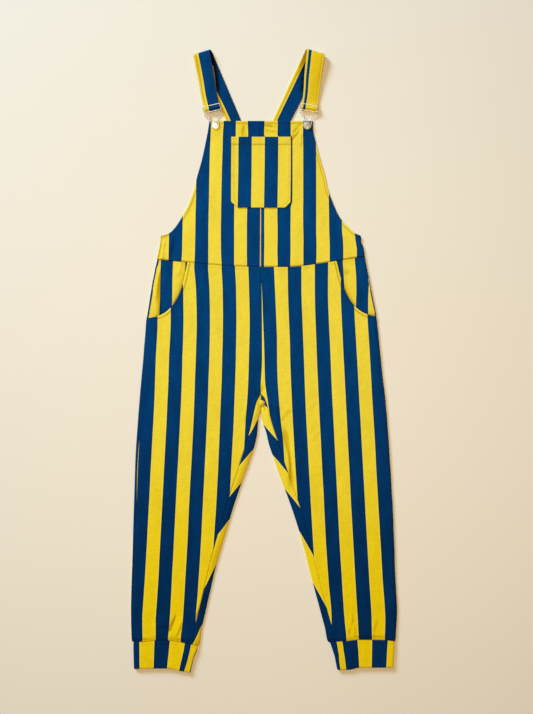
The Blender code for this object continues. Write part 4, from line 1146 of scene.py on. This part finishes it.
def sew_bib(name, top_ends):
    side = SIDE[name]
    arm = [p for p in ARMHOLE_LINE[name] if 304 < p[1] < 571]
    top = [(x, BIB_TOP - TOP_STITCH) for x in top_ends]
    waist = [(x, y + WAIST_STITCH) for x, y in WAIST_LINE[1:-1] if (x + 8) * side > 0]
    lines = [offset_line(arm, side * ARM_STITCH), top, waist]
    sew("stitches_bib_" + name, [on_cloth(line, bib_z) for line in lines])


def sew_pocket():
    hem = [(x, POCKET_TOP - POCKET_HEM_STITCH) for x in (-74, 61.5)]
    sides = [(-72.2, 531), (-72.2, 385), (-60, 373.2), (48, 373.2), (59.2, 384), (59.4, 531)]
    tacks = [[(-78, 533.5), (-67, 533.5)], [(-67, 533.5), (-67, 520)], [(65, 533.5), (54.5, 533.5)],
             [(54.5, 533.5), (54.5, 520)]]
    sew("stitches_pocket", [on_cloth(line, pocket_z) for line in [hem, sides] + tacks])


def sew_leg(name):
    side = SIDE[name]
    lines = [offset_line(MOUTH_LINE[name], -side * MOUTH_STITCH)[1:-2],
             [(x, y + CUFF_STITCH) for x, y in CUFF_LINE[name] if 172 < abs(x) < 306],
             [(x - side * 0.8, y) for x, y in OUTSEAM_LINE[name] if y < 60]]
    if side > 0:
        lines.append(FLY_LINE)
    sew("stitches_leg_" + name, [on_cloth(line, lambda x, y: front_z(name, x, y)) for line in lines])


# ---------------------------------------------------------------- metal
def metal_piece(name, node, points, faces, mat):
    ob = mesh_object(name, points, faces, mat)
    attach(ob, "root")
    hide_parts(node)


def swept(name, node, path, closed=True):
    """Round wire along a line of points; an open one is rounded off at its ends."""
    p = np.array(path, float)
    tangent = np.roll(p, -1, axis=0) - np.roll(p, 1, axis=0) if closed else np.gradient(p, axis=0)
    tangent /= np.linalg.norm(tangent, axis=1)[:, None]
    side = np.stack((-tangent[:, 1], tangent[:, 0], np.zeros(len(p))), axis=-1)
    side /= np.linalg.norm(side, axis=1)[:, None]
    up = np.cross(tangent, side)
    ring = 2 * math.pi * np.arange(WIRE_SIDES) / WIRE_SIDES
    girth = np.full(len(p), WIRE)
    faces = ring_faces(0, len(p), WIRE_SIDES, closed)
    if not closed:
        girth[[0, -1]] = WIRE * 0.6
        faces += end_faces(0, len(p), WIRE_SIDES)
    points = (p[:, None, :] + girth[:, None, None] * (side[:, None, :] * np.cos(ring)[None, :, None]
                                                      + up[:, None, :] * np.sin(ring)[None, :, None]))
    metal_piece(name, node, points.reshape(-1, 3), faces, METAL_MATERIAL)


def rounded(path):
    """Closed line with its corners cut smooth."""
    p = np.array(path, float)
    for _ in range(2):
        ahead = np.roll(p, -1, axis=0)
        p = np.stack((0.78 * p + 0.22 * ahead, 0.22 * p + 0.78 * ahead), axis=1).reshape(-1, 3)
    return p


def button(name, place, foot, tilt, mat):
    """Turned button on its shank, its crown leaning a little."""
    rings = len(BUTTON) - 2
    points = []
    for r, z in BUTTON:
        for s in range(1 if r == 0 else SPOKES):
            a = 2 * math.pi * s / SPOKES
            x, y = r * math.cos(a), r * math.sin(a)
            lean = float(smooth((z - 2.9) / 1.2)) * tilt * (y - 0.5 * x)
            points.append((place[0] + x, place[1] + y, foot + z + lean))
    last = 1 + (rings - 1) * SPOKES
    faces = ring_faces(1, rings, SPOKES)
    for s in range(SPOKES):
        t = (s + 1) % SPOKES
        faces += [(0, 1 + t, 1 + s), (last + s, last + t, len(points) - 1)]
    metal_piece("metal_button_" + name, "button_" + name, points, faces, mat)


def hardware(name, bar_middle, lean, slider_lean, button_place, tilt):
    middle, across, up = strap_frame(bar_middle, lean)
    centre = middle + up * SLIDER_MIDDLE
    _, slider_across, slider_up = strap_frame(bar_middle, slider_lean)
    outline = []
    for sx, sy in ((1, 1), (-1, 1), (-1, -1), (1, -1)):
        outline += [(a * sx, b * sy) for a, b in SLIDER_CORNER][::sx * sy]
    path = [(*(centre + slider_across * a + slider_up * b), SLIDER_Z) for a, b in outline]
    swept("metal_slider_" + name, "slider_" + name, rounded(path))
    reach = SLIDER_HALF - WIRE - SEAM
    bar = [(*(centre + slider_across * t), SLIDER_Z)
           for t in (-reach, -reach + 0.5, -6, 6, reach - 0.5, reach)]
    swept("metal_slider_bar_" + name, "slider_bar_" + name, bar, closed=False)

    foot = float(bib_z(*np.array(button_place))) + CLOTH / 2
    loop_z = foot + SEAM + WIRE + 0.15
    to_button = Vector(button_place) - middle
    button_across, button_down = to_button.dot(across), -to_button.dot(up)
    turn = [math.pi * i / 10 for i in range(11)]
    loop = [(RING_RADIUS * math.cos(a), button_down + RING_RADIUS * math.sin(a)) for a in turn]
    points = []
    for a, d in (*HOOK_SIDE, *loop, *((-a, d) for a, d in HOOK_SIDE[::-1])):
        skew = button_across * float(smooth((d - 6) / (button_down - 10)))
        place = middle + across * (a + skew) - up * d
        points.append((*place, mix(HOOK_BAR_Z, loop_z, float(smooth((d - 2) / 16)))))
    swept("metal_hook_" + name, "hook_" + name, rounded(points))
    # the right button takes a darker copy of the same nickel: painted shade
    button(name, button_place, foot, tilt, METAL_MATERIAL if name == "left" else NICKEL_PAINTED_DARKER)


# ---------------------------------------------------------------- materials
class Graph:
    """A material, with short names for making and joining its shader nodes."""

    def __init__(self, name):
        self.material = bpy.data.materials.new(name)
        self.material.use_nodes = True
        self.tree = self.material.node_tree
        self.shader = self.tree.nodes["Principled BSDF"]
        self.place = self.node("ShaderNodeTexCoord")["Object"]

    def give(self, node, values):
        """Values are sockets to join or constants, by the name or the number of the input."""
        for key, value in values.items():
            if isinstance(value, bpy.types.NodeSocket):
                self.tree.links.new(value, node.inputs[key])
            else:
                node.inputs[key].default_value = value

    def node(self, kind, values=None, **settings):
        made = self.tree.nodes.new(kind)
        for key, value in settings.items():
            setattr(made, key, value)
        self.give(made, values or {})
        return made.outputs

    def math(self, operation, *values, clamp=False):
        return self.node("ShaderNodeMath", dict(enumerate(values)), operation=operation, use_clamp=clamp)[0]

    def add(self, a, b, clamp=False):
        return self.math("ADD", a, b, clamp=clamp)

    def mul(self, a, b, clamp=False):
        return self.math("MULTIPLY", a, b, clamp=clamp)

    def off_middle(self, value, amount):
        """A noise value as an offset to both sides of 0."""
        return self.mul(self.math("SUBTRACT", value, 0.5), amount)

    def less(self, value, amount):
        """1 less a share of a value."""
        return self.math("SUBTRACT", 1.0, self.mul(value, amount), clamp=True)

    def parts(self, vector):
        return self.node("ShaderNodeSeparateXYZ", {0: vector})

    def uv(self, name):
        return self.parts(self.node("ShaderNodeUVMap", uv_map=name)[0])

    def drawn_out(self, scale):
        return self.node("ShaderNodeMapping", {"Scale": scale, "Vector": self.place})[0]

    def noise(self, vector, scale, detail=2.0, roughness=0.5):
        values = {"Vector": vector, "Scale": scale, "Detail": detail, "Roughness": roughness}
        return self.node("ShaderNodeTexNoise", values)["Fac"]

    def span(self, value, low, high, to_low, to_high, smoothly=False):
        names = ("Value", "From Min", "From Max", "To Min", "To Max")
        values = dict(zip(names, (value, low, high, to_low, to_high)))
        kind = "SMOOTHSTEP" if smoothly else "LINEAR"
        return self.node("ShaderNodeMapRange", values, interpolation_type=kind)[0]

    def mix_colour(self, share, a, b, blend="MIX"):
        values = {"Factor": share, 6: a, 7: b}
        return self.node("ShaderNodeMix", values, data_type="RGBA", blend_type=blend)[2]

    def scaled(self, colour, factor):
        """A colour times a number."""
        grey = self.node("ShaderNodeCombineXYZ", {i: factor for i in range(3)})[0]
        return self.mix_colour(1.0, colour, grey, "MULTIPLY")

    def ramp(self, value, stops):
        outputs = self.node("ShaderNodeValToRGB", {0: value})
        points = outputs[0].node.color_ramp.elements
        while len(points) < len(stops):
            points.new(0.5)
        for point, (position, _) in zip(points, stops):
            point.position = position
        for point, (_, colour) in zip(points, stops):
            point.color = (*colour, 1.0)
        return outputs[0]

    def bump(self, height, strength, distance, **normal):
        values = {"Strength": strength, "Distance": distance, "Height": height, **normal}
        return self.node("ShaderNodeBump", values)[0]

    def finished(self, colour, roughness, normal, **constants):
        """Join the nodes to the shader; constants go on its own sockets, their spaces as _."""
        self.give(self.shader, {"Base Color": colour, "Roughness": roughness, "Normal": normal})
        self.give(self.shader, {key.replace("_", " "): value for key, value in constants.items()})
        return self.material


def cloth_material():
    g = Graph("striped_twill")
    # the stripe layer holds the stripe coordinate and the painted shade
    number, painted_shade, _ = g.uv("stripe")
    across, along, _ = g.uv("weave")

    # blue or yellow, the boundary between them a little uneven from thread to thread
    ragged = g.off_middle(g.noise(g.place, 900, 1.0), 0.01)
    wander = g.off_middle(g.noise(g.place, 24, 1.0), 0.015)
    saw = g.math("PINGPONG", g.add(g.add(number, ragged), g.add(wander, 0.5)), 1.0)
    yellow_share = g.span(saw, 0.511, 0.523, 0.0, 1.0, True)

    # twill: fine diagonal ribs, warp threads across them
    rib = g.math("SINE", g.add(g.mul(across, 6200.0), g.mul(along, 6200.0)))
    warp = g.math("SINE", g.mul(across, 9300.0))
    cloth_height = g.add(g.mul(rib, 0.5), g.mul(warp, 0.25))
    slub = g.noise(g.place, 420, 3.0, 0.7)
    mottle = g.noise(g.drawn_out((1.0, 0.3, 1.0)), 52, 3.0, 0.55)

    # the dye's colour, darkened towards the hems and on the straps: painted shade standing in for the light
    # falling off there
    painted_falloff = g.span(g.parts(g.place)[1], -0.65, 0.70, 0.0, 1.0)
    painted_falloff = g.add(painted_falloff, g.off_middle(g.noise(g.place, 7), 0.16), clamp=True)
    yellow, blue = g.ramp(painted_falloff, YELLOW_DYE_AND_FALLOFF), g.ramp(painted_falloff, BLUE_DYE_AND_FALLOFF)

    # threads lie denser where a stripe ends: darker on its blue side, paler on its yellow one
    patchy = g.mul(g.span(slub, 0.3, 0.7, 0.8, 1.2), g.span(mottle, 0.3, 0.7, 0.88, 1.12))
    blue = g.scaled(blue, g.mul(g.span(saw, 0.45, 0.49, 1.0, 0.5, True), patchy))
    yellow = g.mix_colour(g.span(saw, 0.53, 0.60, 0.8, 0.0, True), yellow, YELLOW_EDGE)
    # painted shade: yellow turns golden and darker, blue darker
    yellow_in_painted_shade = g.mix_colour(1.0, yellow, YELLOW_SHADE, "MULTIPLY")
    yellow = g.scaled(g.mix_colour(g.mul(painted_shade, 1.8, clamp=True), yellow, yellow_in_painted_shade), g.less(painted_shade, 0.3))
    blue = g.scaled(blue, g.less(painted_shade, 0.55))
    tone = g.mul(g.span(cloth_height, -0.75, 0.75, 0.9, 1.08),
                 g.mul(g.span(slub, 0.3, 0.7, 0.9, 1.1), g.span(mottle, 0.3, 0.7, 0.965, 1.035)))
    weave_bump = g.bump(g.add(cloth_height, g.mul(slub, 1.2)), 0.35, 0.00025)
    return g.finished(g.scaled(g.mix_colour(yellow_share, blue, yellow), tone),
                      g.span(slub, 0.3, 0.7, 0.82, 0.94),
                      g.bump(g.noise(g.place, 75), 0.5, 0.0012, Normal=weave_bump),
                      Specular_IOR_Level=0.03, Sheen_Weight=0.006, Sheen_Roughness=0.5)


def toned(colour, factor):
    return (*(min(v * factor, 1) for v in colour), 1)


def metal_material(name, base, roughness):
    g = Graph(name)
    brushed = g.noise(g.drawn_out((1.0, 9.0, 1.0)), 700, 2.0, 0.6)
    smudge = g.noise(g.place, 160)
    rough = g.add(g.span(brushed, 0.3, 0.7, roughness, roughness + 0.1), g.mul(smudge, 0.12))
    return g.finished(g.mix_colour(smudge, toned(base, 0.82), toned(base, 1.1)), rough,
                      g.bump(brushed, 0.2, 0.00005), Metallic=0.6)


def thread_material(name, colour):
    g = Graph(name)
    twist = g.noise(g.place, 2600, 1.0)
    return g.finished(g.mix_colour(twist, toned(colour, 0.6), toned(colour, 1.3)),
                      g.span(twist, 0.3, 0.7, 0.55, 0.8), g.bump(twist, 0.4, 0.0001))


def floor_material():
    g = Graph("cream_surface")
    grain = g.noise(g.place, 260, 3.0, 0.6)
    colour = g.mix_colour(g.noise(g.place, 2.2), FLOOR_WARM, FLOOR_PALE)
    return g.finished(g.scaled(colour, g.span(grain, 0.3, 0.7, 0.985, 1.012)),
                      g.span(grain, 0.3, 0.7, 0.8, 0.9), g.bump(grain, 0.08, 0.0003),
                      Specular_IOR_Level=0.1)


# Dye from the hems up to the straps, darkened towards the hems and on the straps as painted shade
YELLOW_DYE_AND_FALLOFF = (
    (0.03, (0.836, 0.624, 0.003)), (0.18, (0.825, 0.64, 0.013)), (0.30, (0.835, 0.664, 0.034)),
    (0.50, (0.835, 0.677, 0.051)), (0.85, (0.844, 0.669, 0.051)), (1.0, (0.788, 0.552, 0.006)),
)
BLUE_DYE_AND_FALLOFF = (
    (0.03, (0.0003, 0.0267, 0.106)), (0.18, (0.0003, 0.0293, 0.117)), (0.30, (0.0004, 0.0352, 0.139)),
    (0.50, (0.0004, 0.0455, 0.1685)), (0.80, (0.0005, 0.0485, 0.178)), (0.92, (0.0005, 0.0425, 0.155)),
    (1.0, (0.0004, 0.048, 0.168)),
)
YELLOW_EDGE = (0.86, 0.72, 0.13, 1)
YELLOW_SHADE = (0.84, 0.69, 0.03, 1)
FLOOR_PALE = (0.84, 0.79, 0.68, 1)
FLOOR_WARM = (0.825, 0.77, 0.65, 1)

CLOTH_MATERIAL = cloth_material()
METAL_MATERIAL = metal_material("brushed_nickel", (0.80, 0.765, 0.70), 0.2)
# A darker, rougher copy of the same nickel for the right button, as painted shade
NICKEL_PAINTED_DARKER = metal_material("nickel_painted_darker", (0.53, 0.44, 0.325), 0.36)
THREAD_MATERIAL = thread_material("navy_thread", (0.012, 0.035, 0.08))

for name in SIDE:
    bib_front(name)
    leg_front(name)
    leg_back(name)
    hip_facing(name)
    cuff(name)
bib_back()
pocket()
crotch_knob()
sew_bib("left", (-125, -10))
sew_bib("right", (-6, 112))
sew_pocket()
for name in SIDE:
    sew_leg(name)
for name in SIDE:
    sew("stitches_strap_" + name, strap(name))
    hardware(name, *STRAPS[name][3:])


# ---------------------------------------------------------------- floor, light, camera
FLOOR_HALF = 3.0       # metres, as all lengths from here on
KEY_WATTS = 560
KEY_DISTANCE = 6.4
KEY_ELEVATION = 24.5   # degrees
FILL_WATTS = 38.6
WORLD_STRENGTH = 0.2
CAMERA_PLACE = (0.006, 0.0084, 2.384)


def floor():
    mesh = bpy.data.meshes.new("floor")
    corners = [(x * FLOOR_HALF, y * FLOOR_HALF, 0) for x, y in ((-1, -1), (1, -1), (1, 1), (-1, 1))]
    mesh.from_pydata(corners, [], [(0, 1, 2, 3)])
    mesh.materials.append(floor_material())
    ob = add_to_scene("floor", mesh)
    ob.location.z = -0.0003


def area_light(name, place, target, size, energy, colour):
    data = bpy.data.lights.new(name, "AREA")
    data.shape = "DISK"
    data.size = size
    data.energy = energy
    data.color = colour
    ob = add_to_scene(name, data)
    ob.location = place
    ob.rotation_euler = (Vector(target) - Vector(place)).to_track_quat("-Z", "Y").to_euler()


def light():
    elevation = math.radians(KEY_ELEVATION)
    toward = Vector((-0.633, 0.774, 0)) * math.cos(elevation) + Vector((0, 0, math.sin(elevation)))
    area_light("key", toward * KEY_DISTANCE, (0, 0, 0), 2.3, KEY_WATTS, (0.503, 0.735, 1.0))
    area_light("fill", (-0.02, 0.0, 2.5), (-0.02, 0.0, 0), 1.5, FILL_WATTS, (1.0, 0.845, 0.526))
    world = bpy.data.worlds.new("room")
    world.use_nodes = True
    background = world.node_tree.nodes["Background"]
    background.inputs["Color"].default_value = (1.0, 0.5, 0.2, 1)
    background.inputs["Strength"].default_value = WORLD_STRENGTH
    bpy.context.scene.world = world


def camera():
    data = bpy.data.cameras.new("camera")
    data.lens = 50
    data.sensor_width = 36
    data.clip_end = 20
    ob = add_to_scene("camera", data)
    ob.location = CAMERA_PLACE
    bpy.context.scene.camera = ob


floor()
light()
camera()
bpy.context.scene.view_settings.view_transform = "Standard"
bpy.context.scene.view_settings.look = "None"
